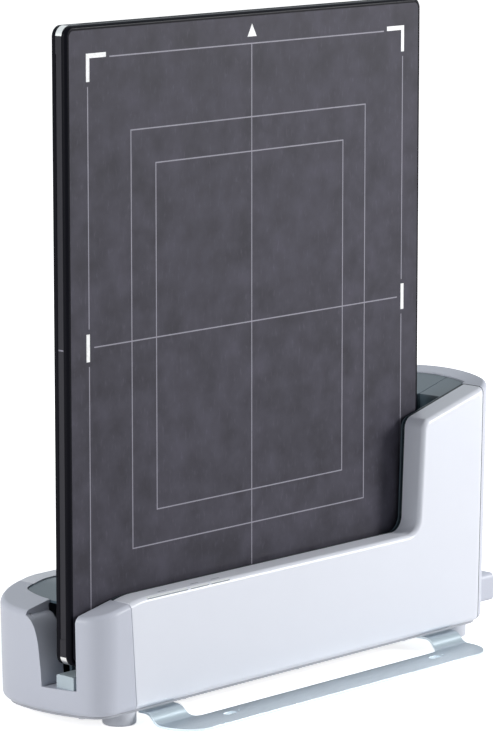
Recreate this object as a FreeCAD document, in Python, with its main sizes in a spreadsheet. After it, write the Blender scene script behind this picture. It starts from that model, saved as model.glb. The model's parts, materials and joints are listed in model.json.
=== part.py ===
"""Flat panel X-ray detector standing in its charging cradle, in millimetres.

+X runs along the detector from left to right, +Y away from the front face, +Z up.
The origin lies on the floor, under the middle of the whole object.
"""

import FreeCAD
import Part

import math
import os
import re

import Sketcher

SIZES = (
    ("panel_width", 384, "detector, side to side"),
    ("panel_height", 460, "detector, bottom to top"),
    ("panel_corner", 8, "corner radius of the detector"),
    ("rim_depth", 4, "front rim, front to back"),
    ("band_depth", 6, "side band, front to back"),
    ("back_depth", 5, "rear rim, front to back"),
    ("band_recess", 0.4, "step from the rims down to the side band"),
    ("frame_wall", 8, "width of the rims and of the side band's wall"),
    ("rim_width", 3.6, "side of the detector to the edge of the front sheet"),
    ("rim_round", 3, "rounding of the front rim's outer edge"),
    ("back_bevel", 1.6, "bevel of the rear rim's outer edge"),
    ("sheet_depth", 2, "thickness of the front and rear sheets"),
    ("rim_shank", 0.8, "rear rim's screws, shank radius"),
    ("rim_head", 1.5, "rear rim's screws, head radius"),
    ("rim_head_depth", 1.4, "rear rim's screws, head height"),
    ("rim_thread", 3, "rear rim's screws, length in the side band"),
    ("rear_margin", 5.4, "side of the detector to the edge of the rear sheet"),
    ("guard_leg", 20, "length of a corner guard along each side"),
    ("guard_depth", 2.5, "thickness of a corner guard"),
    ("active_width", 354, "scintillator, side to side"),
    ("active_height", 430, "scintillator, bottom to top"),
    ("scintillator_depth", 0.6, "thickness of the scintillator"),
    ("glass_depth", 0.8, "thickness of the sensor glass"),
    ("glass_margin", 3, "sensor glass beyond the scintillator"),
    ("support_depth", 1.6, "thickness of the support plate"),
    ("support_gap", 1, "gap round the support plate"),
    ("post_radius", 4, "posts between the support plate and the rear sheet"),
    ("board_gap", 0.4, "insulating gap under a board"),
    ("ribbon_depth", 0.3, "thickness of a flat ribbon round the support plate"),
    ("ribbon_width", 24, "flat ribbon, along the detector's side"),
    ("board_depth", 1.6, "thickness of a circuit board"),
    ("cell_depth", 5.6, "thickness of a power cell"),
    ("button_height", 11, "power button, along the side"),
    ("button_depth", 3.6, "power button, front to back"),
    ("button_proud", 0.3, "power button standing out of the band"),
    ("button_travel", 0.8, "stroke of the power button"),
    ("button_rise", 120, "detector's middle up to the power button"),
    ("ribbon_pitch", 52, "spacing of the flat ribbons along the detector's sides"),
    ("fit_gap", 0.3, "clearance round a moving piece"),
    ("pad_spread", 276, "middles of the two seat pads, left to right"),
    ("pad_length", 30, "seat pad, left to right"),
    ("rail_height", 10, "seat rail above the slot's floor"),
    ("rail_round", 1.5, "rounding of the seat rail's top edges"),
    ("rail_inset", 5.6, "left end of the cradle's base to the seat rail"),
    ("contact_pitch", 8, "spacing of the charging contacts"),
    ("contact_shift", 96, "charging contacts right of the detector's middle"),
    ("pin_radius", 1.1, "charging pins, tip"),
    ("pin_step", 0.6, "charging pins, tip out to the collar"),
    ("collar_length", 6, "charging pins, collar"),
    ("pin_stroke", 2, "room under the charging pins' collars"),
    ("housing_length", 459, "cradle at its base, end to end"),
    ("housing_depth", 116, "cradle at its base, front to back"),
    ("housing_mid_x", -5.7, "middle of the cradle from the origin"),
    ("housing_mid_y", 20.4, "middle of the cradle from the origin"),
    ("end_radius", 120, "crown of the cradle's two ends"),
    ("front_corner", 22, "rounding of the cradle's front corners"),
    ("rear_corner", 40, "rounding of the cradle's rear corners"),
    ("draft_angle", 1, "lean of the housing's walls, in degrees"),
    ("foot_height", 10, "rubber feet, floor to tray"),
    ("foot_radius", 12.5, "rubber feet"),
    ("foot_round", 1.5, "rounding under the rubber feet"),
    ("tray_depth", 2, "thickness of the base tray"),
    ("tray_inset", 5.5, "tray's edge inside the housing's edge"),
    ("wall", 3, "housing wall"),
    ("lip_width", 4, "lip under the housing, inside its rounded edge"),
    ("low_top", 95, "top of the low wall above the floor"),
    ("tower_top", 182.4, "tower's left shoulder above the floor"),
    ("tower_slope", 0.262, "rise of the tower's top for each mm to the right"),
    ("left_slope", 0.2, "fall of the left end's top for each mm to the left"),
    ("left_fall_run", 52.6, "left end of the cradle's base to where its top starts to fall"),
    ("fall_curve", 60, "curve where the left end's top starts to fall"),
    ("riser_foot", 164.3, "detector's middle to the foot of the tower's riser"),
    ("riser_head", 168.2, "detector's middle to the head of the tower's riser"),
    ("foot_curve", 12, "hollow curve at the foot of the riser"),
    ("head_curve", 9, "curve at the head of the riser"),
    ("top_round", 5, "rounding of the housing's top edge"),
    ("base_round", 6, "rounding of the housing's bottom edge"),
    ("panel_offset", 33.9, "detector's middle left of the cradle's middle"),
    ("front_wall", 23.5, "cradle's base front to the detector's front face"),
    ("seat_height", 48, "bottom of the seated detector above the floor"),
    ("slot_front_gap", 4, "detector's front face to the front of the slot"),
    ("slot_width", 26, "slot, front to back"),
    ("slot_floor", 31, "floor of the slot above the floor"),
    ("slot_end_gap", 23, "detector's right side to the end of the slot"),
    ("rim_left", 23.5, "left end of the cradle's base to the liner"),
    ("rim_right", 12.4, "right end of the cradle's base to the liner"),
    ("rim_rear", 17, "rear of the cradle's base to the liner"),
    ("liner_corner", 9, "rounding of the liner's rear corners"),
    ("liner_gap", 0.5, "gap round the liner"),
    ("liner_drop", 0.8, "liner's face below the rim"),
    ("liner_wall", 2, "thickness of the liner"),
    ("liner_seam", 0.4, "visible seam between the two liners"),
    ("liner_split", 22.7, "front of the slot to the parting line of the liner"),
    ("guide_gap", 0.6, "clearance from the detector to the guide ribs"),
    ("guide_width", 4, "width of a guide rib"),
    ("guide_drop", 16, "guide ribs below the low wall's top"),
    ("seam_gap", 0.5, "visible seam between housing shells"),
    ("left_cap_top", 40.6, "left end of the cradle's base to the left seam, at the low wall's top"),
    ("left_cap_base", 48.9, "left end of the cradle's base to the left seam, at the base"),
    ("right_cap", 23.4, "right end of the cradle's base to the right seam"),
    ("lamp_inset", 18.5, "left seam to the first lamp slit"),
    ("lens_depth", 1.4, "lamp slits, front to back"),
    ("lens_setback", 1.6, "housing's front face to the lamp slits"),
    ("lens_foot", 1.5, "height of the foot of a lamp lens"),
    ("lens_tall", 5, "height of a lamp lens"),
    ("boss_reach", 12.6, "right end of the cradle's base to the connector boss's face"),
    ("boss_width", 42, "connector boss, front to back"),
    ("boss_height", 22.5, "connector boss, bottom to top"),
    ("boss_low", 21, "connector boss above the floor"),
    ("boss_front", 13.5, "cradle's base front to the connector boss"),
    ("boss_round", 4, "rounding of the connector boss"),
    ("foot_shift", 6, "middle of the feet right of the cradle's middle"),
    ("foot_inset", 42.5, "ends of the cradle's base to the feet, before their shift"),
    ("boss_root", 12, "connector boss inside the cradle's end"),
    ("socket_margin", 3.5, "sides of the connector boss to its sockets"),
    ("socket_reach", 22, "connector boss's face to the sockets' inner ends"),
    ("socket_inset", 1, "connector boss's face to the sockets' faces"),
    ("jack_width", 16, "network jack, across"),
    ("jack_height", 13.6, "network jack, bottom to top"),
    ("jack_wall", 2.1, "network jack, side walls"),
    ("jack_depth", 13, "network jack, depth of its mouth"),
    ("inlet_width", 12, "power inlet, across"),
    ("inlet_height", 11, "power inlet, bottom to top"),
    ("inlet_bore", 3.2, "power inlet, radius of its bore"),
    ("inlet_pin", 1, "power inlet, radius of its pin"),
    ("board_inset", 175.6, "left end of the cradle's base to the main board"),
    ("board_run", 150, "main board, left to right"),
    ("board_breadth", 46, "main board, front to back"),
    ("board_margin", 6, "main board's edges to the middles of its posts"),
    ("board_lift", 6, "tray to the underside of the boards"),
    ("board_post", 3, "board posts, radius"),
    ("post_sink", 0.5, "posts sunk into the tray"),
    ("module_length", 100, "power module, left to right"),
    ("module_breadth", 44, "power module, front to back"),
    ("module_height", 28, "power module, bottom to top"),
    ("module_gap", 12, "power module to the main board"),
    ("plate_reach", 44, "cradle's base front to the front of the foot plate"),
    ("plate_inset", 55.5, "ends of the cradle's base to the foot plate's ends, before its shift"),
    ("plate_shift", 2, "foot plate right of the cradle's middle"),
    ("plate_depth", 2, "thickness of the foot plate"),
    ("plate_strip", 29.5, "foot plate's front strip, front to back"),
    ("plate_corner", 26, "rounding of the foot plate's corners"),
    ("tab_width", 34, "foot plate's tabs"),
    ("tab_length", 38, "flat of the tabs under the tray"),
    ("bend_radius", 10, "bends of the tabs, at mid thickness"),
    ("bench_slot_spacing", 233, "bench slots in the foot plate, centre to centre"),
    ("bench_slot_length", 12, "bench slot, end to end"),
    ("bench_slot_width", 5.5, "bench slot, across"),
    ("pilot_hole", 1.1, "pilot holes in the foot plate, radius"),
    ("pilot_gap", 4, "bench slot's end to the middle of its pilot hole"),
    ("boss_inset", 11, "housing's edge to the middle of its screw bosses"),
    ("screw_margin", 16, "foot plate's tabs to the nearest housing screws"),
    ("screw_boss", 4, "screw bosses in the housing, radius"),
    ("screw_radius", 1.5, "housing screws, shank"),
    ("screw_head", 3, "housing screws, head radius"),
    ("head_depth", 1.6, "housing screws, head height"),
    ("thread_length", 9, "housing screws, shank above the tray"),
)

DERIVED = (
    ("panel_depth", "rim_depth + band_depth + back_depth"),
    ("panel_mid_x", "housing_mid_x - panel_offset"),
    ("housing_front", "housing_mid_y - housing_depth / 2"),
    ("housing_rear", "housing_mid_y + housing_depth / 2"),
    ("housing_left", "housing_mid_x - housing_length / 2"),
    ("housing_right", "housing_mid_x + housing_length / 2"),
    ("panel_front", "housing_front + front_wall"),
    ("panel_back", "panel_front + panel_depth"),
    ("panel_left", "panel_mid_x - panel_width / 2"),
    ("panel_right", "panel_mid_x + panel_width / 2"),
    ("panel_base", "seat_height"),
    ("panel_top", "panel_base + panel_height"),
    ("panel_mid_z", "panel_base + panel_height / 2"),
    ("band_front", "panel_front + rim_depth"),
    ("band_back", "band_front + band_depth"),
    ("sheet_back", "panel_front + sheet_depth"),
    ("glass_front", "sheet_back + scintillator_depth"),
    ("support_front", "glass_front + glass_depth"),
    ("support_back", "support_front + support_depth"),
    ("rear_sheet_front", "panel_back - sheet_depth"),
    ("board_front", "support_back + board_gap"),
    ("board_back", "board_front + board_depth"),
    ("housing_base", "foot_height + tray_depth"),
    ("left_centre", "housing_left + end_radius"),
    ("right_centre", "housing_right - end_radius"),
    ("ceiling", "tower_top + tower_slope * housing_length / 2"),
    ("slot_front", "panel_front - slot_front_gap"),
    ("slot_back", "slot_front + slot_width"),
    ("slot_end", "panel_right + slot_end_gap"),
    ("liner_back", "housing_rear - rim_rear"),
    ("left_fall_start", "housing_length / 2 - panel_offset - left_fall_run"),
    ("left_seam", "housing_left + left_cap_top"),
    ("left_seam_foot", "housing_left + left_cap_base"),
    ("right_seam", "housing_right - right_cap"),
    ("foot_spread", "housing_length - 2 * foot_inset"),
    ("plate_width", "housing_length - 2 * plate_inset"),
    ("liner_part", "slot_front + liner_split"),
    ("channel_front", "slot_front + liner_wall"),
    ("channel_back", "slot_back - liner_wall"),
    ("screw_spread", "plate_width / 2 - tab_width - screw_margin"),
    ("lamp_start", "left_seam + lamp_inset"),
    ("lens_front", "housing_front - 1.5 + lens_setback"),
    ("lens_low", "low_top - 0.6 - lens_tall"),
    ("boss_face", "housing_right + boss_reach"),
    ("plate_front", "housing_front - plate_reach"),
    ("plate_mid_x", "housing_mid_x + plate_shift"),
    ("strip_back", "plate_front + plate_strip"),
    ("tab_lift", "foot_height - plate_depth"),
    ("bend_run", "sqrt(4 * bend_radius * tab_lift - tab_lift * tab_lift)"),
    ("tab_front", "strip_back + bend_run"),
    ("band_mid_y", "(band_front + band_back) / 2"),
    ("button_front", "band_mid_y - button_depth / 2"),
    ("button_back", "band_mid_y + button_depth / 2"),
    ("button_mid_z", "panel_mid_z + button_rise"),
    ("button_base", "button_mid_z - button_height / 2"),
    ("button_top", "button_mid_z + button_height / 2"),
    ("contact_mid", "panel_mid_x + contact_shift"),
    ("contact_left", "contact_mid - 2 * contact_pitch"),
    ("contact_right", "contact_mid + 2 * contact_pitch"),
    ("boss_row_front", "housing_front + boss_inset"),
    ("boss_row_rear", "housing_rear - boss_inset"),
    ("lamp_board_top", "lens_low - lens_foot - 1.2"),
    ("lamp_row", "lens_front + 7"),
    ("boss_y", "housing_front + boss_front"),
    ("jack_y", "boss_y + socket_margin"),
    ("inlet_y", "boss_y + boss_width - socket_margin - inlet_width"),
    ("socket_mid", "boss_low + boss_height / 2"),
    ("socket_back", "boss_face - socket_reach"),
    ("socket_front", "boss_face - socket_inset"),
    ("jack_back", "socket_front - jack_depth"),
    ("foot_mid_x", "housing_mid_x + foot_shift"),
    ("foot_row_front", "housing_mid_y - 39.5"),
    ("foot_row_rear", "housing_mid_y + 34.5"),
    ("bench_y", "plate_front + 18.5"),
    ("rail_top", "slot_floor + rail_height"),
    ("contact_top", "rail_top + 3"),
    ("pin_shoulder", "contact_top - 2"),
    ("switch_right", "panel_right - frame_wall - 1 - button_travel - 2 * fit_gap"),
    ("board_left", "housing_left + board_inset"),
    ("board_right", "board_left + board_run"),
    ("board_y", "slot_back + 8"),
    ("board_rest", "housing_base + board_lift"),
    ("module_right", "board_left - module_gap"),
)

ALIASES = {name for name, *_ in SIZES} | {name for name, _ in DERIVED}
PLANES = {"XY": "XY_Plane", "XZ": "XZ_Plane", "YZ": "YZ_Plane"}
TURNS = {
    "x": FreeCAD.Rotation(FreeCAD.Vector(0, 1, 0), 90),
    "y": FreeCAD.Rotation(FreeCAD.Vector(1, 0, 0), -90),
    "z": FreeCAD.Rotation(),
}

doc = FreeCAD.newDocument("flat_panel_detector")
sheet = doc.addObject("Spreadsheet::Sheet", "sheet")
gauge = doc.addObject("App::FeaturePython", "gauge")
gauge.addProperty("App::PropertyFloat", "reading")
nodes = []


def fill_sheet():
    """Write the driving sizes, then the sizes worked out from them."""
    for row, (name, number, note) in enumerate(SIZES, 1):
        sheet.set(f"A{row}", str(number))
        sheet.setAlias(f"A{row}", name)
        sheet.set(f"B{row}", note)
    for row, (name, formula) in enumerate(DERIVED, len(SIZES) + 2):
        sheet.set(f"A{row}", "=" + formula)
        sheet.setAlias(f"A{row}", name)
    doc.recompute()


def from_sheet(formula):
    """A formula in the sheet's names, as an expression any object can hold."""
    return re.sub(r"[a-z_]+", lambda word: "sheet." + word[0] if word[0] in ALIASES else word[0], str(formula))


def tie(item, place, formula):
    """Bind one property of an object to a formula of the sheet."""
    item.setExpression(place, from_sheet(formula))


def reading(formula):
    """What a formula of the sheet comes to now."""
    tie(gauge, "reading", formula)
    gauge.recompute()
    return gauge.reading


def keep(item, name):
    """Mark an object as a sub-part of the product, under its own name."""
    item.Label = name
    nodes.append(item)
    return item


# Solids from primitives and booleans

def place(item, x, y, z, axis="z"):
    item.Placement = FreeCAD.Placement(FreeCAD.Vector(), TURNS[axis])
    for letter, formula in zip("xyz", (x, y, z)):
        tie(item, "Placement.Base." + letter, formula)


def block(name, x_span, y_span, z_span):
    """A box between two x, two y and two z formulas."""
    item = doc.addObject("Part::Box", name)
    for side, (low, high) in zip(("Length", "Width", "Height"), (x_span, y_span, z_span)):
        tie(item, side, f"({high}) - ({low})")
    place(item, x_span[0], y_span[0], z_span[0])
    return item


FEW_SIDES = 6
PIN_SIDES = 8
ROUND_SIDES = 16
FOOT_SIDES = 24


def rod(name, axis, radius, start, length, sides=None):
    """A cylinder from a start point along an axis; small repeated ones get a few flat sides instead."""
    if sides:
        item = doc.addObject("Part::Prism", name)
        item.Polygon = sides
        tie(item, "Circumradius", radius)
    else:
        item = doc.addObject("Part::Cylinder", name)
        tie(item, "Radius", radius)
    tie(item, "Height", length)
    place(item, *start, axis)
    return item


def fuse(name, *pieces):
    item = doc.addObject("Part::MultiFuse", name)
    item.Shapes = list(pieces)
    item.Refine = True
    return item


def group(name, pieces):
    """Identical loose pieces that share one node."""
    item = doc.addObject("Part::Compound", name)
    item.Links = list(pieces)
    return item


def cut(name, base, *tools):
    item = doc.addObject("Part::Cut", name)
    item.Base = base
    item.Tool = tools[0] if len(tools) == 1 else group(name + "_tools", tools)
    item.Refine = True
    return item


def overlap(name, first, second):
    item = doc.addObject("Part::Common", name)
    item.Base = first
    item.Tool = second
    item.Refine = True
    return item


# Bodies from sketches

def new_body(name):
    return doc.addObject("PartDesign::Body", name)


def new_sketch(body, name, plane="XY", height="0"):
    """A sketch on one of the body's origin planes, raised off it along the plane's normal."""
    sketch = body.newObject("Sketcher::SketchObject", name)
    origin_plane = next(f for f in body.Origin.OriginFeatures if f.Role == PLANES[plane])
    sketch.AttachmentSupport = [(origin_plane, "")]
    sketch.MapMode = "FlatFace"
    tie(sketch, "AttachmentOffset.Base.z", height)
    return sketch


def dimension(sketch, kind, *where_and_formula):
    """Add a driving dimension that follows a formula."""
    *where, formula = where_and_formula
    index = sketch.addConstraint(Sketcher.Constraint(kind, *where, reading(formula)))
    sketch.renameConstraint(index, f"size_{index}")
    tie(sketch, f"Constraints.size_{index}", formula)


def draw_outline(sketch, corners):
    """A closed outline of straight sides, each corner held by two formulas."""
    points = [FreeCAD.Vector(reading(u), reading(v), 0) for u, v in corners]
    first = sketch.GeometryCount
    count = len(points)
    for i in range(count):
        sketch.addGeometry(Part.LineSegment(points[i], points[(i + 1) % count]))
    for i in range(count):
        sketch.addConstraint(Sketcher.Constraint("Coincident", first + i, 2, first + (i + 1) % count, 1))
    for i, (u, v) in enumerate(corners):
        dimension(sketch, "DistanceX", -1, 1, first + i, 1, u)
        dimension(sketch, "DistanceY", -1, 1, first + i, 1, v)


def rectangle(u_low, u_high, v_low, v_high):
    return ((u_low, v_low), (u_high, v_low), (u_high, v_high), (u_low, v_high))


def inset_panel(inset):
    """The detector's front outline, drawn in by an inset."""
    return rectangle(
        f"panel_left + ({inset})", f"panel_right - ({inset})", f"panel_base + ({inset})", f"panel_top - ({inset})"
    )


def draw_crowned(sketch, front, rear, left_inset, right_inset):
    """The cradle's plan: straight front and rear, and two crowned ends."""
    radii = [reading(f"end_radius - ({inset})") for inset in (left_inset, right_inset)]
    centres = [FreeCAD.Vector(reading(c), reading("housing_mid_y"), 0) for c in ("left_centre", "right_centre")]
    half_angles = [math.asin((reading(rear) - centres[0].y) / radius) for radius in radii]
    normal = FreeCAD.Vector(0, 0, 1)
    left = Part.ArcOfCircle(
        Part.Circle(centres[0], normal, radii[0]), math.pi - half_angles[0], math.pi + half_angles[0]
    )
    right = Part.ArcOfCircle(Part.Circle(centres[1], normal, radii[1]), -half_angles[1], half_angles[1])
    sketch.addGeometry(Part.LineSegment(left.EndPoint, right.StartPoint))
    sketch.addGeometry(right)
    sketch.addGeometry(Part.LineSegment(right.EndPoint, left.StartPoint))
    sketch.addGeometry(left)
    for first in range(4):
        sketch.addConstraint(Sketcher.Constraint("Coincident", first, 2, (first + 1) % 4, 1))
    for line, level in ((0, front), (2, rear)):
        sketch.addConstraint(Sketcher.Constraint("Horizontal", line))
        dimension(sketch, "DistanceY", -1, 1, line, 1, level)
    for arc, centre, inset in ((1, "right_centre", right_inset), (3, "left_centre", left_inset)):
        dimension(sketch, "Radius", arc, f"end_radius - ({inset})")
        dimension(sketch, "DistanceX", -1, 1, arc, 3, centre)
        dimension(sketch, "DistanceY", -1, 1, arc, 3, "housing_mid_y")


def feature(body, kind, name, profile, length=None, reverse=False, both=False):
    """A pad or pocket of a sketch; with no length it goes right through."""
    item = body.newObject("PartDesign::" + kind, name)
    item.Profile = profile
    item.Reversed = reverse
    if both:
        item.SideType = "Symmetric"
    if length is None:
        item.Type = "ThroughAll"
    else:
        tie(item, "Length", length)
    doc.recompute()
    return item


def edges_of(item, test):
    return [f"Edge{i}" for i, edge in enumerate(item.Shape.Edges, 1) if test(edge, edge.BoundBox)]


def soften(body, kind, name, size, test):
    """Fillet or chamfer the edges of the body's last feature that pass a test."""
    last = body.Tip
    item = body.newObject("PartDesign::" + kind, name)
    item.Base = (last, edges_of(last, test))
    tie(item, "Radius" if kind == "Fillet" else "Size", size)
    doc.recompute()
    return item


def along(letter, box):
    """Whether an edge's box is long in one axis and thin in the others."""
    lengths = {"X": box.XLength, "Y": box.YLength, "Z": box.ZLength}
    long_side = lengths.pop(letter)
    return long_side > 1 and max(lengths.values()) < 0.3 * long_side


# The detector

def detector_slab(name, outline, front, depth, corner):
    """A flat body standing in the detector's plane, with rounded corners."""
    body = new_body(name)
    sketch = new_sketch(body, name + "_outline", "XZ", f"-({front})")
    draw_outline(sketch, outline)
    feature(body, "Pad", name + "_slab", sketch, depth, reverse=True)
    if corner:
        soften(body, "Fillet", name + "_corners", corner, lambda edge, box: along("Y", box))
    return body


def slab_pocket(body, name, outline, front, depth, corner=None):
    """A rounded recess cut into a detector slab towards +Y."""
    sketch = new_sketch(body, name + "_outline", "XZ", f"-({front})")
    draw_outline(sketch, outline)
    before = body.Shape.copy()
    feature(body, "Pocket", name, sketch, depth)
    if corner:
        known = [edge.CenterOfMass for edge in before.Edges]
        soften(
            body,
            "Fillet",
            name + "_corners",
            corner,
            lambda edge, box: along("Y", box)
            and all(edge.CenterOfMass.distanceToPoint(point) > 0.5 for point in known),
        )


def outer_face_edges(level):
    """Picks the outer edges of a detector slab that lie in one plane across Y."""

    def test(edge, box):
        flat = box.YLength < 0.01 and abs(box.YMin - reading(level)) < 0.01
        inset = reading("panel_corner") + 0.01
        reach = max(
            box.XMax - reading("panel_right") + inset,
            reading("panel_left") + inset - box.XMin,
            box.ZMax - reading("panel_top") + inset,
            reading("panel_base") + inset - box.ZMin,
        )
        return flat and reach > inset - 0.5

    return test


def make_front_rim():
    """The rounded black rim that holds the front sheet flush."""
    body = detector_slab("front_rim_body", inset_panel("0"), "panel_front", "rim_depth", "panel_corner")
    slab_pocket(
        body, "sheet_recess", inset_panel("rim_width"), "panel_front", "sheet_depth", "panel_corner - rim_width"
    )
    slab_pocket(body, "front_window", inset_panel("frame_wall"), "panel_front", "rim_depth")
    soften_in_flats(body, "front_rim_round", "rim_round", outer_face_edges("panel_front"))
    return keep(body, "front_rim")


def make_rear_rim(screws):
    body = detector_slab("rear_rim_body", inset_panel("0"), "band_back", "back_depth", "panel_corner")
    soften(body, "Chamfer", "rear_rim_bevel", "back_bevel", outer_face_edges("panel_back"))
    slab_pocket(body, "rear_window", inset_panel("frame_wall"), "band_back", "back_depth")
    sketch = new_sketch(body, "rear_recess_outline", "XZ", "-(rear_sheet_front)")
    draw_outline(sketch, inset_panel("rear_margin"))
    feature(body, "Pocket", "rear_recess", sketch, "sheet_depth")
    return keep(cut("rear_rim_cut", body, screws), "rear_rim")


def corner_signs():
    for across, x_side in (("left", -1), ("right", 1)):
        for level, z_side in (("bottom", -1), ("top", 1)):
            yield f"{level}_{across}", x_side, z_side


def make_corner_guards():
    """Four bright guards wrapped round the corners of the side band."""
    ring = detector_slab("guard_ring", inset_panel("0"), "band_front", "band_depth", "panel_corner")
    slab_pocket(ring, "guard_ring_inside", inset_panel("guard_depth"), "band_front", "band_depth")
    guards = []
    for place_name, x_side, z_side in corner_signs():
        x_edge = "panel_right" if x_side > 0 else "panel_left"
        z_edge = "panel_top" if z_side > 0 else "panel_base"
        x_span = (f"{x_edge} - guard_leg", x_edge) if x_side > 0 else (x_edge, f"{x_edge} + guard_leg")
        z_span = (f"{z_edge} - guard_leg", z_edge) if z_side > 0 else (z_edge, f"{z_edge} + guard_leg")
        zone = block(f"guard_zone_{place_name}", x_span, ("band_front", "band_back"), z_span)
        guards.append(keep(overlap(f"guard_{place_name}", ring, zone), f"corner_guard_{place_name}"))
    return guards


BUTTON_X = ("panel_right - frame_wall", "panel_right + button_proud")
LAMP_RISES = (24, 32, 40)
LAMP_RADIUS = 1.1


def make_side_band(guards, screws):
    """The frame behind the rims, open for the guards, button, lamps and contacts."""
    body = detector_slab("side_band_body", inset_panel("band_recess"), "band_front", "band_depth", "panel_corner")
    slab_pocket(body, "band_inside", inset_panel("frame_wall"), "band_front", "band_depth")
    button_hole = block(
        "button_hole",
        ("panel_right - frame_wall - 1", "panel_right + 1"),
        ("button_front - fit_gap", "button_back + fit_gap"),
        ("button_base - fit_gap", "button_top + fit_gap"),
    )
    lamp_holes = [
        rod(
            f"lamp_hole_{rise}",
            "x",
            LAMP_RADIUS,
            ("panel_right - frame_wall - 1", "band_mid_y", f"button_top + {rise}"),
            "frame_wall + 2",
            PIN_SIDES,
        )
        for rise in LAMP_RISES
    ]
    contact_hole = block(
        "contact_hole",
        ("contact_left - 4", "contact_right + 4"),
        ("band_mid_y - 2.4", "band_mid_y + 2.4"),
        ("panel_base - 1", "panel_base + frame_wall + 1"),
    )
    tools = [*guards, screws, button_hole, contact_hole, *lamp_holes]
    return keep(cut("side_band_cut", body, *tools), "side_band")


def frame_screw_places():
    """Where the rear screws stand: evenly along the four sides of the rear rim."""
    inset = "(rear_margin + 0.2) / 2"
    for share in (1 / 6, 5 / 6):
        across = f"panel_left + panel_width * {share}"
        level = f"panel_base + panel_height * {share}"
        yield across, f"panel_base + {inset}"
        yield across, f"panel_top - {inset}"
        yield f"panel_left + {inset}", level
        yield f"panel_right - {inset}", level


def make_rear_screws():
    """Small screws that hold the rear rim on the side band, heads flush at the back."""
    screws = []
    for index, (x, z) in enumerate(frame_screw_places()):
        shank_start = (x, "band_back - rim_thread", z)
        shank_length = "rim_thread + back_depth - rim_head_depth"
        shank = rod(f"rear_shank_{index}", "y", "rim_shank", shank_start, shank_length, FEW_SIDES)
        head_start = (x, "panel_back - rim_head_depth", z)
        head = rod(f"rear_head_{index}", "y", "rim_head", head_start, "rim_head_depth", FEW_SIDES)
        screws.append(fuse(f"rear_screw_{index}", shank, head))
    return keep(group("rear_screw_set", screws), "rear_screws")


def make_sheets():
    front = detector_slab(
        "front_sheet_body", inset_panel("rim_width"), "panel_front", "sheet_depth", "panel_corner - rim_width"
    )
    rear = detector_slab("rear_sheet_body", inset_panel("rear_margin"), "rear_sheet_front", "sheet_depth", None)
    return keep(front, "front_sheet"), keep(rear, "rear_sheet")


def centred(width, height):
    return rectangle(
        f"panel_mid_x - ({width}) / 2",
        f"panel_mid_x + ({width}) / 2",
        f"panel_mid_z - ({height}) / 2",
        f"panel_mid_z + ({height}) / 2",
    )


POST_COLUMNS = (-1, 0, 1)
POST_ROWS = (-1, 1)


def make_imaging_stack():
    """Scintillator, sensor glass and the support plate that carries the electronics."""
    scintillator = detector_slab(
        "scintillator_body", centred("active_width", "active_height"), "sheet_back", "scintillator_depth", None
    )
    keep(scintillator, "scintillator")
    grown = ("active_width + 2 * glass_margin", "active_height + 2 * glass_margin")
    keep(detector_slab("glass_body", centred(*grown), "glass_front", "glass_depth", None), "sensor_glass")
    plate = detector_slab(
        "support_body", inset_panel("frame_wall + support_gap"), "support_front", "support_depth", "panel_corner / 2"
    )
    for row, z_side in (("lower", -1), ("upper", 1)):
        middle = f"panel_mid_z + {z_side} * panel_height / 4.6"
        for column, x_side in (("left", -1), ("right", 1)):
            centre = f"panel_mid_x + {x_side} * panel_width / 4.2"
            window = rectangle(
                f"{centre} - panel_width / 11",
                f"{centre} + panel_width / 11",
                f"{middle} - panel_height / 13",
                f"{middle} + panel_height / 13",
            )
            slab_pocket(plate, f"support_window_{row}_{column}", window, "support_front", "support_depth")
    posts = [
        rod(
            f"support_post_{column}_{row}",
            "y",
            "post_radius",
            (
                f"panel_mid_x + {column} * panel_width * 0.42",
                "support_front",
                f"panel_mid_z + {row} * panel_height * 0.465",
            ),
            "rear_sheet_front - support_front",
            FEW_SIDES,
        )
        for column in POST_COLUMNS
        for row in POST_ROWS
    ]
    notch = block(
        "switch_notch",
        ("switch_right - 8", "panel_right"),
        ("support_front - 1", "support_back + 1"),
        ("button_base - 5", "button_top + 5"),
    )
    keep(cut("support_notched", fuse("support_with_posts", plate, *posts), notch), "support_plate")


def panel_block(name, left, right, low, high, front, depth):
    """A box in the detector, measured from its middle."""
    return block(
        name,
        (f"panel_mid_x + ({left})", f"panel_mid_x + ({right})"),
        (front, f"{front} + ({depth})"),
        (f"panel_mid_z + ({low})", f"panel_mid_z + ({high})"),
    )


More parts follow.
